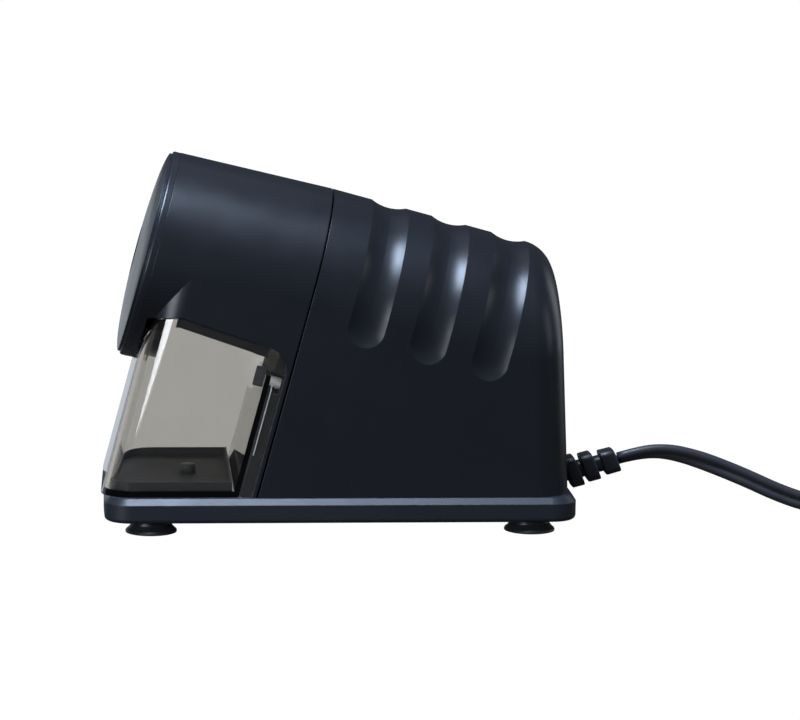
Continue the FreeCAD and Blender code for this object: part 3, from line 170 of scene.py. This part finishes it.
# ---------------------------------------------------------------------------------------------
# Cord: one smooth line from the strain relief to the plug, with the unseen length in a coil
# ---------------------------------------------------------------------------------------------
CORD_WIDTH = 7.2
CORD_ROUTE = [
    (0.0, 109.8, 21.3), (0.2, 119.0, 23.9), (0.8, 129.0, 24.3), (1.8, 139.5, 21.9), (3.0, 150.0, 18.2),
    (4.6, 161.0, 13.8), (6.4, 172.0, 8.9), (8.2, 184.0, 4.9), (9.6, 197.0, 3.8), (10.0, 210.0, 3.7),
]
COIL_CENTRE = Vector((50.0, 221.0, 0.0))
COIL_POINTS = 24
COIL_LOW, COIL_HIGH = 3.9, 11.1
# Radius and height of each turn: inwards on the table, then outwards on top
COIL_TURNS = [(40.0, COIL_LOW), (36.4, COIL_LOW), (32.8, COIL_LOW),
              (32.8, COIL_HIGH), (36.4, COIL_HIGH), (40.0, COIL_HIGH), (43.6, COIL_HIGH), (43.6, COIL_HIGH)]
COIL_LAST = 7.125
PLUG_MIDDLE = Vector((37.0, 261.0, 21.0))
# From the top of the coil up to the plug, which lies on it
PLUG_APPROACH = [(21.5, 255.5, 15.5), (25.5, 259.5, 19.5), (30.0, 261.0, 21.0), (34.0, 261.0, 21.0)]


def coil_point(turns):
    """Point of the coil; each turn moves over to its own place within its first third."""
    number = int(turns)
    before, here = COIL_TURNS[max(number - 1, 0)], COIL_TURNS[number]
    share = ease(min(1.0, (turns - number) * 3.0))
    radius = before[0] + (here[0] - before[0]) * share
    height = before[1] + (here[1] - before[1]) * share
    angle = math.pi - 2 * math.pi * turns
    return (COIL_CENTRE.x + radius * math.cos(angle), COIL_CENTRE.y + radius * math.sin(angle), height)


route = list(CORD_ROUTE)
route += [coil_point(step / COIL_POINTS) for step in range(1, int(COIL_LAST * COIL_POINTS) + 1)]
route += PLUG_APPROACH

curve_data = bpy.data.curves.new("cord_line", "CURVE")
curve_data.dimensions = "3D"
curve_data.resolution_u = 6
spline = curve_data.splines.new("NURBS")
spline.points.add(len(route) - 1)
for point, place in zip(spline.points, route):
    point.co = (*(c * MM for c in place), 1.0)
spline.order_u = 3
spline.use_endpoint_u = True
cord_line = link_object("cord_line", curve_data)
bpy.context.view_layer.update()
cord_points = read_line(cord_line)
bpy.data.objects.remove(cord_line)

WEB_ANGLE = 30
START_TWIST = math.radians(60)
TWIST_LENGTH = 0.05


def flat_profile(per_core=15):
    """Two round cores joined by a web half as thick; (across the width, thickness) in millimetres."""
    core = CORD_WIDTH / 4
    points = []
    for side, first in ((1, WEB_ANGLE - 180), (-1, WEB_ANGLE)):
        for k in range(per_core):
            angle = math.radians(first + (360 - 2 * WEB_ANGLE) * k / (per_core - 1))
            points.append((side * core + core * math.cos(angle), core * math.sin(angle)))
    return points


def sweep_flat(name, line, twist_of):
    """Flat cord along a line; twist_of gives its broad side's turn from upright, by distance."""
    outline = flat_profile()
    rings = []
    run = 0.0
    for number, place in enumerate(line):
        before = line[max(number - 1, 0)]
        after = line[min(number + 1, len(line) - 1)]
        if number:
            run += (place - line[number - 1]).length
        way = (after - before).normalized()
        upright = (Vector((0, 0, 1)) - way * way.z).normalized()
        side = way.cross(upright)
        turn = twist_of(run)
        broad = upright * math.cos(turn) + side * math.sin(turn)
        thin = way.cross(broad)
        rings.append([place + (broad * x + thin * y) * MM for x, y in outline])
    return loft(name, rings)


def cord_twist(run):
    """The broad side starts leaning over and turns upright within the twist's length."""
    return START_TWIST * (1 - ease(min(1.0, run / TWIST_LENGTH)))


cord = sweep_flat("mains_cord", cord_points, cord_twist)
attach(cord, "body")
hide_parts("cord", "cord_coil")

# Ladder strain relief: short ribs on a thin neck
RELIEF_TILT = math.radians(15.0)
relief_way = Vector((0, math.cos(RELIEF_TILT), math.sin(RELIEF_TILT)))
relief_up = Vector((0, -math.sin(RELIEF_TILT), math.cos(RELIEF_TILT)))
relief_end = Vector((0, 109.8, 21.3))
RELIEF_LENGTH = 30.0
# (run, width, height, corner, lean) from inside the wall to the cord
RELIEF_SHAPE = [
    (2.0, 6.4, 6.4, 2.0, 0), (9.3, 6.4, 6.4, 2.0, 0),
    (9.3, 10.6, 11.9, 2.6, -0.1), (9.8, 11.0, 12.3, 2.8, -0.1),
    (13.6, 11.0, 12.3, 2.8, -0.16), (14.1, 10.6, 11.9, 2.6, -0.16),
    (14.1, 6.6, 6.6, 2.0, -0.1), (15.9, 6.6, 6.6, 2.0, -0.1),
    (15.9, 9.8, 10.8, 2.4, -0.12), (16.4, 10.2, 11.2, 2.6, -0.12),
    (20.4, 10.2, 11.2, 2.6, -0.16), (20.9, 9.8, 10.8, 2.4, -0.16),
    (20.9, 6.5, 6.2, 2.0, -0.1), (23.5, 6.5, 6.2, 2.0, -0.1),
    (23.5, 9.0, 9.2, 2.2, -0.10), (24.0, 9.4, 9.6, 2.4, -0.10),
    (28.9, 9.4, 9.4, 2.4, -0.16), (29.5, 8.8, 8.8, 2.4, -0.16),
    (29.5, 5.0, 5.0, 1.8, 0)]


def relief_ring(run, wide, high, corner, lean):
    """Section across the relief's axis; lean shifts its top along the axis."""
    centre = relief_end + relief_way * (run - RELIEF_LENGTH)
    return [(centre + ACROSS * x + relief_up * z + relief_way * (lean * z)) * MM
            for x, z in rounded_rectangle(wide, high, corner)]


relief = loft("ladder_relief", [relief_ring(*section) for section in RELIEF_SHAPE])
round_edges(relief, 0.35, segments=3, sharp_from=40)
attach(relief, "body")
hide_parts("strain_relief")

# Plug: ribbed neck, waisted grip and a flat front that holds the two blades
# (run, width, height, corner)
PLUG_SHAPE = [
    (-9.0, 6.0, 6.0, 2.4), (-8.4, 7.6, 7.6, 3.0), (-6.4, 7.8, 7.8, 3.0), (-5.8, 6.4, 6.4, 2.4),
    (-4.8, 6.4, 6.4, 2.4), (-4.2, 8.2, 8.0, 3.0), (-2.0, 8.4, 8.2, 3.0), (-1.4, 7.0, 7.0, 2.6),
    (0.0, 8.5, 8.2, 3.0), (1.0, 13.0, 9.8, 3.4), (3.0, 16.4, 11.2, 4.0), (6.0, 17.6, 11.8, 4.0),
    (12.0, 15.2, 10.6, 3.8), (18.0, 16.6, 11.4, 3.6), (23.0, 18.0, 12.0, 3.2), (25.4, 18.0, 12.0, 3.0),
    (26.0, 17.2, 11.2, 2.8)]


def plug_ring(run, wide, high, corner):
    """Section across the plug, which points along X."""
    return [(PLUG_MIDDLE + Vector((run, y, z))) * MM for y, z in rounded_rectangle(wide, high, corner)]


plug = loft("moulded_plug", [plug_ring(*section) for section in PLUG_SHAPE])
round_edges(plug, 0.4, segments=3, sharp_from=40)
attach(plug, "body")
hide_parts("plug_body")

# Paper-and-wire tie round the coil's near side
TIE_ANGLE = math.radians(-60)
TIE_HALF = 3.0
TIE_INNER, TIE_OUTER = 31.0, 45.8
TIE_FOOT, TIE_TOP = 0.25, 14.9
TIE_CORNERS = [(TIE_INNER, TIE_FOOT), (TIE_OUTER, TIE_FOOT), (TIE_OUTER, TIE_TOP), (TIE_INNER, TIE_TOP)]
TIE_PER_SIDE = 8
TIE_INSIDE, TIE_OUTSIDE = 0.05, 0.55
TABLE_GAP = 0.1


def tie_ring(swell, turn):
    """Closed loop round the bundle's cross-section; swell makes it thicker."""
    outward = Vector((math.cos(TIE_ANGLE), math.sin(TIE_ANGLE), 0))
    across = Vector((-outward.y, outward.x, 0))
    middle_radius = sum(r for r, z in TIE_CORNERS) / 4
    middle_height = sum(z for r, z in TIE_CORNERS) / 4
    ring = []
    for number in range(4):
        here, after = TIE_CORNERS[number], TIE_CORNERS[(number + 1) % 4]
        for k in range(TIE_PER_SIDE):
            share = k / TIE_PER_SIDE
            radius = here[0] + (after[0] - here[0]) * share
            height = here[1] + (after[1] - here[1]) * share
            away = Vector((radius - middle_radius, height - middle_height)).normalized() * swell
            lift = Vector((0, 0, max(height + away.y, TABLE_GAP)))
            ring.append((COIL_CENTRE + outward * (radius + away.x) + across * turn + lift) * MM)
    return ring


TIE_SECTION = [(TIE_INSIDE, -TIE_HALF), (TIE_OUTSIDE, -TIE_HALF), (TIE_OUTSIDE, TIE_HALF),
               (TIE_INSIDE, TIE_HALF), (TIE_INSIDE, -TIE_HALF)]
tie = loft("coil_tie", [tie_ring(swell, turn) for swell, turn in TIE_SECTION], close_ends=False)
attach(tie, "body")

# ---------------------------------------------------------------------------------------------
# Inside of the bin: textured floor with its gate mark and curb, and the stop on the near wall; the gate
# mark's near-black disc is painted shade
# ---------------------------------------------------------------------------------------------
MAT_HALF, MAT_FRONT, MAT_REAR, MAT_CORNER = 37.0, -86.2, -41.2, 9.6
MAT_HEIGHT, MAT_THICK = 16.14, 0.2
GATE_PLACE, GATE_RADIUS = Vector((0.0, -57.0)), 3.5
GATE_GAP, GATE_THICK = 0.05, MAT_THICK * 0.6
CURB_THICK, CURB_HEIGHT = 0.8, 3.4


def mat_outline(inset=0.0):
    """Outline of the bin's floor, or a line that lies inset from it."""
    half, rear = MAT_HALF - inset, MAT_REAR - inset
    points = [Vector((half, rear)), Vector((-half, rear))]
    for side, first in ((-1, 180), (1, 270)):
        centre = Vector((side * (MAT_HALF - MAT_CORNER), MAT_FRONT + MAT_CORNER))
        for k in range(9):
            angle = math.radians(first + 90 * k / 8)
            points.append(centre + Vector((math.cos(angle), math.sin(angle))) * (MAT_CORNER - inset))
    return points


def flat_sheet(name, loops, height, thick):
    """Sheet between an outline and its holes."""
    work = bmesh.new()
    edges = []
    for loop in loops:
        corners = [work.verts.new((p.x * MM, p.y * MM, height * MM)) for p in loop]
        edges += [work.edges.new(pair) for pair in zip(corners, corners[1:] + corners[:1])]
    faces = bmesh.ops.triangle_fill(work, use_beauty=True, edges=edges)["geom"]
    faces = [item for item in faces if isinstance(item, bmesh.types.BMFace)]
    grown = bmesh.ops.extrude_face_region(work, geom=faces)["geom"]
    top = [item for item in grown if isinstance(item, bmesh.types.BMVert)]
    bmesh.ops.translate(work, verts=top, vec=(0, 0, thick * MM))
    bmesh.ops.recalc_face_normals(work, faces=work.faces[:])
    return bmesh_object(name, work)


def gate_circle(radius):
    turns = [2 * math.pi * k / 32 for k in range(32)]
    return [GATE_PLACE + Vector((math.cos(turn), math.sin(turn))) * radius for turn in turns]


bin_floor = flat_sheet("bin_floor_texture", [mat_outline(), gate_circle(GATE_RADIUS)],
                       MAT_HEIGHT, MAT_THICK)
# Near-black disc in the floor's hole at the gate: painted shade for the gate mark's hollow
gate_shade_disc = flat_sheet("bin_gate_shade_disc", [gate_circle(GATE_RADIUS - GATE_GAP)], MAT_HEIGHT, GATE_THICK)
bin_curb = flat_sheet("bin_floor_curb", [mat_outline(), mat_outline(CURB_THICK)], MAT_HEIGHT, CURB_HEIGHT)
# (radius, height over the floor)
POST_SHAPE = [(2.9, 0.15), (2.9, 3.2), (2.6, 3.6), (1.2, 3.7)]
post_rings = [[Vector((spot.x, spot.y, MAT_HEIGHT + rise)) * MM for spot in gate_circle(radius)]
              for radius, rise in POST_SHAPE]
gate_post = loft("bin_gate_post", post_rings)
for piece in (bin_floor, gate_shade_disc, gate_post, bin_curb):
    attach(piece, "receptacle")


def machine_block(name, low, high, edge):
    """Block between two corners given in the machine frame (across, up, back)."""
    corners = [at(*corner) for corner in product(*zip(low, high))]
    faces = [(0, 1, 3, 2), (4, 6, 7, 5), (0, 4, 5, 1), (2, 3, 7, 6), (0, 2, 6, 4), (1, 5, 7, 3)]
    thing = mesh_object(name, corners, faces, smooth=False)
    round_edges(thing, edge)
    return thing


bin_stop = machine_block("bin_stop", (36.0, -33.2, 48.6), (37.6, -25.6, 52.6), edge=0.3)
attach(bin_stop, "receptacle")

# Polished light grey rib on the inner side of the near wall, behind the bin's rear wall; its pale colour is
# a painted highlight for the bright edge line there
bin_highlight_rib = machine_block("bin_wall_highlight_rib", (37.0, -58.5, 55.85), (37.6, -31.2, 56.25), edge=0.1)
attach(bin_highlight_rib, "receptacle")

# Lower shell of the drum, which reaches back over the front of the bin
CHUTE_INNER, CHUTE_OUTER = 36.2, 37.2
CHUTE_FRONT, CHUTE_BACK = 5.6, 12.5
CHUTE_SECTION = ((CHUTE_INNER, CHUTE_FRONT), (CHUTE_OUTER, CHUTE_FRONT),
                 (CHUTE_OUTER, CHUTE_BACK), (CHUTE_INNER, CHUTE_BACK))
CHUTE_SPREAD = 50
chute_rings = []
for degrees in range(-CHUTE_SPREAD, CHUTE_SPREAD + 1, 5):
    swing = math.radians(degrees)
    chute_rings.append([at(radius * math.sin(swing), -radius * math.cos(swing), back)
                        for radius, back in CHUTE_SECTION])
chute = loft("drum_chute", chute_rings)
round_edges(chute, 0.3)
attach(chute, "body")

# Inner lip that closes the seam between the two housings, above the bin's bulkhead, with a tongue
# that stands in the gap and ends just under the surface
LIP_RADIUS, LIP_CENTRE, LIP_FOOT = 36.6, 0.3, -19.2
LIP_FRONT, LIP_BACK, LIP_HALF_THICK = 60.4, 62.2, 0.3
TONGUE_FRONT, TONGUE_BACK, TONGUE_REACH = 61.25, 61.75, 2.4
# (reach outwards, back), round the lip and its tongue
LIP_SECTION = ((-LIP_HALF_THICK, LIP_FRONT), (LIP_HALF_THICK, LIP_FRONT),
               (LIP_HALF_THICK, TONGUE_FRONT), (TONGUE_REACH, TONGUE_FRONT),
               (TONGUE_REACH, TONGUE_BACK), (LIP_HALF_THICK, TONGUE_BACK),
               (LIP_HALF_THICK, LIP_BACK), (-LIP_HALF_THICK, LIP_BACK))
LIP_SIDE = (LIP_FOOT, -12.0, -6.0)
lip_path = [((LIP_RADIUS, height), (1.0, 0.0)) for height in LIP_SIDE]
for degrees in range(0, 181, 6):
    swing = math.radians(degrees)
    outward = (math.cos(swing), math.sin(swing))
    lip_path.append(((LIP_RADIUS * outward[0], LIP_CENTRE + LIP_RADIUS * outward[1]), outward))
lip_path += [((-LIP_RADIUS, height), (-1.0, 0.0)) for height in reversed(LIP_SIDE)]
lip_rings = []
for (across, up), outward in lip_path:
    lip_rings.append([at(across + outward[0] * reach, up + outward[1] * reach, back)
                      for reach, back in LIP_SECTION])
seam_lip = loft("seam_lip", lip_rings)
round_edges(seam_lip, 0.15)
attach(seam_lip, "body")

# ---------------------------------------------------------------------------------------------
# Materials
# ---------------------------------------------------------------------------------------------


class Shader:
    """A material's node tree, with short calls for the nodes that the finishes share."""

    def __init__(self, name, **sockets):
        self.material = bpy.data.materials.new(name)
        self.material.use_nodes = True
        self.tree = self.material.node_tree
        self.surface = self.tree.nodes["Principled BSDF"]
        for socket, value in sockets.items():
            self.surface.inputs[socket.replace("_", " ")].default_value = value
        self.place = self.add("ShaderNodeTexCoord").outputs["Object"]

    def add(self, kind, **values):
        node = self.tree.nodes.new(kind)
        for key, value in values.items():
            setattr(node, key, value)
        return node

    def join(self, source, target):
        self.tree.links.new(source, target)

    def noise(self, scale, detail=3.0, rough=0.5, stretch=None):
        node = self.add("ShaderNodeTexNoise")
        node.inputs["Scale"].default_value = scale
        node.inputs["Detail"].default_value = detail
        node.inputs["Roughness"].default_value = rough
        if stretch:
            mapping = self.add("ShaderNodeMapping")
            mapping.inputs["Scale"].default_value = stretch
            self.join(self.place, mapping.inputs["Vector"])
            self.join(mapping.outputs["Vector"], node.inputs["Vector"])
        else:
            self.join(self.place, node.inputs["Vector"])
        return node.outputs["Fac"]

    def span(self, source, low, high, start=0.3, end=0.7):
        node = self.add("ShaderNodeMapRange")
        node.inputs["From Min"].default_value = start
        node.inputs["From Max"].default_value = end
        node.inputs["To Min"].default_value = low
        node.inputs["To Max"].default_value = high
        self.join(source, node.inputs["Value"])
        return node.outputs["Result"]

    def tint(self, source, first, second, start=0.3, end=0.7):
        node = self.add("ShaderNodeValToRGB")
        node.color_ramp.elements[0].position = start
        node.color_ramp.elements[0].color = (*first, 1)
        node.color_ramp.elements[1].position = end
        node.color_ramp.elements[1].color = (*second, 1)
        self.join(source, node.inputs["Fac"])
        self.join(node.outputs["Color"], self.surface.inputs["Base Color"])
        return node

    def bump(self, source, strength, distance, before=None):
        node = self.add("ShaderNodeBump")
        node.inputs["Strength"].default_value = strength
        node.inputs["Distance"].default_value = distance
        self.join(source, node.inputs["Height"])
        if before:
            self.join(before, node.inputs["Normal"])
        return node.outputs["Normal"]

    def soft_edges(self, radius):
        node = self.add("ShaderNodeBevel", samples=6)
        node.inputs["Radius"].default_value = radius
        return node.outputs["Normal"]

    def finish(self, normal=None, roughness=None):
        if normal:
            self.join(normal, self.surface.inputs["Normal"])
        if roughness:
            self.join(roughness, self.surface.inputs["Roughness"])
        return self.material


def moulded(name, dark, light, rough, edge=0.4, grain=5200, bump=0.05):
    """Moulded plastic: fine spark-eroded grain, faint mottling and handling marks."""
    shader = Shader(name, Specular_IOR_Level=0.5)
    shader.tint(shader.noise(35, 4, 0.6), dark, light)
    rough_map = shader.span(shader.noise(60, 5, 0.65), rough - 0.03, rough + 0.04)
    normal = shader.bump(shader.noise(grain, 2, 0.5), bump, 0.00005, shader.soft_edges(edge * MM))
    return shader.finish(normal, rough_map)


def metal(name, colour, rough, spread=0.08, stretch=(1, 1, 1), scale=900, bump=0.08):
    """Worked metal: directional tool marks and uneven polish."""
    shader = Shader(name, Metallic=1.0)
    darker = tuple(c * 0.82 for c in colour)
    shader.tint(shader.noise(120, 3, 0.6), darker, colour)
    rough_map = shader.span(shader.noise(scale, 3, 0.6, stretch), rough - spread / 2, rough + spread)
    marks = shader.noise(scale * 1.6, 2, 0.5, stretch)
    normal = shader.bump(marks, bump, 0.00004, shader.soft_edges(0.2 * MM))
    return shader.finish(normal, rough_map)


def smoke_clear():
    """Clear styrene that darkens and warms with the thickness that is looked through."""
    shader = Shader("smoke_clear_finish", Transmission_Weight=1.0, IOR=1.55, Roughness=0.02)
    shader.tint(shader.noise(25, 3, 0.5), (0.780, 0.777, 0.768), (0.800, 0.797, 0.788))
    smoke = shader.add("ShaderNodeVolumeAbsorption")
    smoke.inputs["Color"].default_value = (0.25, 0.22, 0.13, 1)
    smoke.inputs["Density"].default_value = 160.0
    output = shader.tree.nodes["Material Output"]
    shader.join(smoke.outputs["Volume"], output.inputs["Volume"])
    return shader.finish(shader.bump(shader.noise(70, 2, 0.4), 0.02, 0.0002))


def soft_vinyl(name, dark, light, rough, sheen=0.0):
    """Soft vinyl or rubber: matt, faintly uneven, with a fine skin."""
    shader = Shader(name, Specular_IOR_Level=0.5, Sheen_Weight=sheen)
    shader.tint(shader.noise(160, 4, 0.6), dark, light)
    rough_map = shader.span(shader.noise(300, 4, 0.6), rough - 0.05, rough + 0.06)
    normal = shader.bump(shader.noise(2600, 3, 0.5), 0.12, 0.00008)
    return shader.finish(normal, rough_map)


housing = moulded("housing_finish", (0.0118, 0.0130, 0.0160), (0.0135, 0.0148, 0.0182), 0.33, 0.35)
base_finish = moulded("base_finish", (0.0180, 0.0200, 0.0260), (0.0200, 0.0220, 0.0290), 0.40, 0.4)
bezel_finish = moulded("bezel_finish", (0.0160, 0.0175, 0.0230), (0.0185, 0.0200, 0.0260),
                       0.28, 0.3, bump=0.03)
inner_finish = moulded("inner_finish", (0.020, 0.020, 0.021), (0.028, 0.028, 0.029),
                       0.5, 0.3, grain=2600, bump=0.1)
nylon = moulded("nylon_finish", (0.70, 0.68, 0.62), (0.80, 0.78, 0.72),
                0.42, 0.2, grain=1800, bump=0.06)
case_finish = moulded("case_finish", (0.012, 0.012, 0.013), (0.018, 0.018, 0.020), 0.35, 0.3)
clear = smoke_clear()
cup_finish = soft_vinyl("cup_finish", (0.012, 0.014, 0.017), (0.020, 0.023, 0.027), 0.38, 0.1)
cord_finish = soft_vinyl("cord_finish", (0.032, 0.032, 0.037), (0.041, 0.041, 0.047), 0.46, 0.0)
relief_finish = soft_vinyl("relief_finish", (0.012, 0.012, 0.014), (0.017, 0.018, 0.020), 0.42, 0.1)
plug_finish = soft_vinyl("plug_finish", (0.016, 0.016, 0.020), (0.022, 0.022, 0.027), 0.40, 0.1)
floor_finish = moulded("bin_floor_finish", (0.006, 0.006, 0.007), (0.010, 0.010, 0.011),
                       0.6, grain=900, bump=0.3)
post_finish = moulded("post_finish", (0.045, 0.045, 0.046), (0.060, 0.060, 0.061),
                      0.4, 0.2, grain=1800)
# Pale grey and glossy: a painted highlight, the colour of a bright edge line rather than of the part
painted_highlight_finish = moulded("painted_highlight_finish", (0.60, 0.60, 0.58), (0.70, 0.70, 0.68),
                     0.25, 0.1, grain=1800, bump=0.02)
# Near-black, darker than every other black plastic: painted shade for the bulkhead in the recess behind the
# bin and for the gate mark's hollow
recess_shade_black = moulded("recess_shade_black", (0.003, 0.003, 0.003), (0.005, 0.005, 0.005),
                          0.65, grain=2600)
tool_steel = metal("tool_steel_finish", (0.50, 0.50, 0.52), 0.25, stretch=(1, 6, 6))
bright_steel = metal("bright_steel_finish", (0.66, 0.66, 0.67), 0.22, stretch=(6, 1, 1))
zinc = metal("zinc_finish", (0.60, 0.61, 0.63), 0.42, scale=500, bump=0.2)
plated = metal("plated_finish", (0.62, 0.61, 0.56), 0.30, scale=300)
core_steel = metal("core_steel_finish", (0.24, 0.24, 0.25), 0.40, stretch=(1, 14, 4), bump=0.4)
copper = metal("copper_finish", (0.62, 0.22, 0.08), 0.28, stretch=(14, 1, 1), bump=0.5)
bronze = metal("bronze_finish", (0.62, 0.42, 0.20), 0.40, scale=700, bump=0.25)
brass = metal("brass_finish", (0.78, 0.62, 0.34), 0.22)

FINISHES = {
    "housing_black": housing, "base_black": base_finish, "bezel_black": bezel_finish,
    "smoke_clear": clear, "inner_plastic": inner_finish, "white_nylon": nylon,
    "cutter_steel": tool_steel, "bright_steel": bright_steel, "zinc_plate": zinc,
    "plated_steel": plated, "core_steel": core_steel, "enamel_copper": copper,
    "bearing_bronze": bronze, "cup_rubber": cup_finish, "cord_vinyl": cord_finish,
    "relief_vinyl": relief_finish, "plug_vinyl": plug_finish, "blade_brass": brass,
    "switch_case": case_finish,
}
for row in frame["record"]["subparts"]:
    thing = nodes[row["node"]]
    thing.data.materials.clear()
    thing.data.materials.append(FINISHES[row["material_slot"]])
for piece, finish in ((cord, cord_finish), (relief, relief_finish), (plug, plug_finish),
                      (tie, relief_finish), (bin_floor, floor_finish), (bin_stop, inner_finish),
                      (gate_shade_disc, recess_shade_black), (bin_curb, floor_finish), (chute, housing),
                      (seam_lip, housing), (gate_post, post_finish), (bin_highlight_rib, painted_highlight_finish)):
    piece.data.materials.append(finish)
# The bulkhead behind the bin takes the near-black painted shade in place of its own finish
nodes["bin_bulkhead"].data.materials[0] = recess_shade_black
# Clear plastic lets the light into the bin
nodes["shavings_receptacle"].visible_shadow = False

# ---------------------------------------------------------------------------------------------
# Room: white floor and backdrop that the camera and the clear bin see, and soft boxes
# ---------------------------------------------------------------------------------------------


def glowing(name, strength):
    """White material that gives off light and reflects none."""
    material = bpy.data.materials.new(name)
    material.use_nodes = True
    tree = material.node_tree
    surface = tree.nodes["Principled BSDF"]
    surface.inputs["Base Color"].default_value = (0, 0, 0, 1)
    surface.inputs["Roughness"].default_value = 1.0
    surface.inputs["Specular IOR Level"].default_value = 0.0
    surface.inputs["Emission Color"].default_value = (1, 1, 1, 1)
    surface.inputs["Emission Strength"].default_value = strength
    return material


def only_seen(thing):
    """Leave a thing out of what lights the scene."""
    thing.visible_diffuse = False
    thing.visible_glossy = False
    thing.visible_shadow = False


FLOOR_HALF = 3.0
DOME_RADIUS = 12.0
WHITE, DIM = 1.02, 0.25


def stage_half(name, side, strength, camera, transmission):
    """Half of the floor and backdrop, on one side across the machine."""
    work = bmesh.new()
    bmesh.ops.create_uvsphere(work, u_segments=48, v_segments=24, radius=DOME_RADIUS)
    far = [face for face in work.faces if face.calc_center_median().x * side < 0]
    bmesh.ops.delete(work, geom=far, context="FACES")
    reach = side * FLOOR_HALF
    ground = [(0, -FLOOR_HALF), (reach, -FLOOR_HALF), (reach, FLOOR_HALF), (0, FLOOR_HALF)]
    work.faces.new([work.verts.new((x, y, 0)) for x, y in ground])
    thing = bmesh_object(name, work)
    thing.data.materials.append(glowing(name + "_white", strength))
    only_seen(thing)
    thing.visible_camera = camera
    thing.visible_transmission = transmission


# The clear bin shows the bright far side; the side towards the photograph's viewer is dimmer.
stage_half("stage_far", -1, WHITE, True, True)
stage_half("stage_near", 1, WHITE, True, False)
stage_half("stage_near_dim", 1, DIM, False, True)

world = bpy.data.worlds.new("studio")
world.use_nodes = True
background = world.node_tree.nodes["Background"]
background.inputs["Color"].default_value = (0.75, 0.85, 1.0, 1)
background.inputs["Strength"].default_value = 0.07
scene.world = world


def soft_box(name, place, aim, width, height, radiance, colour):
    """Area light given by the brightness of its face."""
    light = bpy.data.lights.new(name, "AREA")
    light.shape = "RECTANGLE"
    light.size = width
    light.size_y = height
    light.energy = radiance * width * height * math.pi
    light.color = colour
    thing = link_object(name, light)
    thing.location = place
    thing.rotation_mode = "QUATERNION"
    thing.rotation_quaternion = (Vector(aim) - Vector(place)).to_track_quat("-Z", "Y")
    thing.visible_camera = False
    return thing


# Places, aims and sizes in metres
COOL = (0.62, 0.76, 1.0)
NEUTRAL = (0.86, 0.92, 1.0)
soft_box("key_above", (0.37, -0.20, 1.28), (0, -0.02, 0.07), 0.40, 0.62, 34.0, COOL)
soft_box("wide_above", (-0.5, 0.0, 1.2), (0, 0, 0.07), 0.7, 1.0, 0.2, NEUTRAL)
soft_box("front_right", (0.89, -0.84, 0.28), (0, -0.04, 0.08), 0.50, 0.40, 9.5, NEUTRAL)
soft_box("rear_right", (0.45, 1.15, 0.45), (0, 0.08, 0.07), 0.3, 0.6, 1.6, NEUTRAL)
front_panel = soft_box("front_panel", (-0.91, -0.86, 0.16), (0, -0.08, 0.10), 0.8, 0.55, 0.45, NEUTRAL)
rear_panel = soft_box("rear_panel", (-0.5, 1.1, 0.35), (0, 0.1, 0.07), 0.5, 0.8, 1.5, NEUTRAL)
low_panel = soft_box("low_panel", (-0.8, -0.30, 0.0), (0, -0.08, 0.06), 0.7, 0.25, 0.6, NEUTRAL)
for panel in (front_panel, rear_panel, low_panel):
    panel.visible_transmission = False
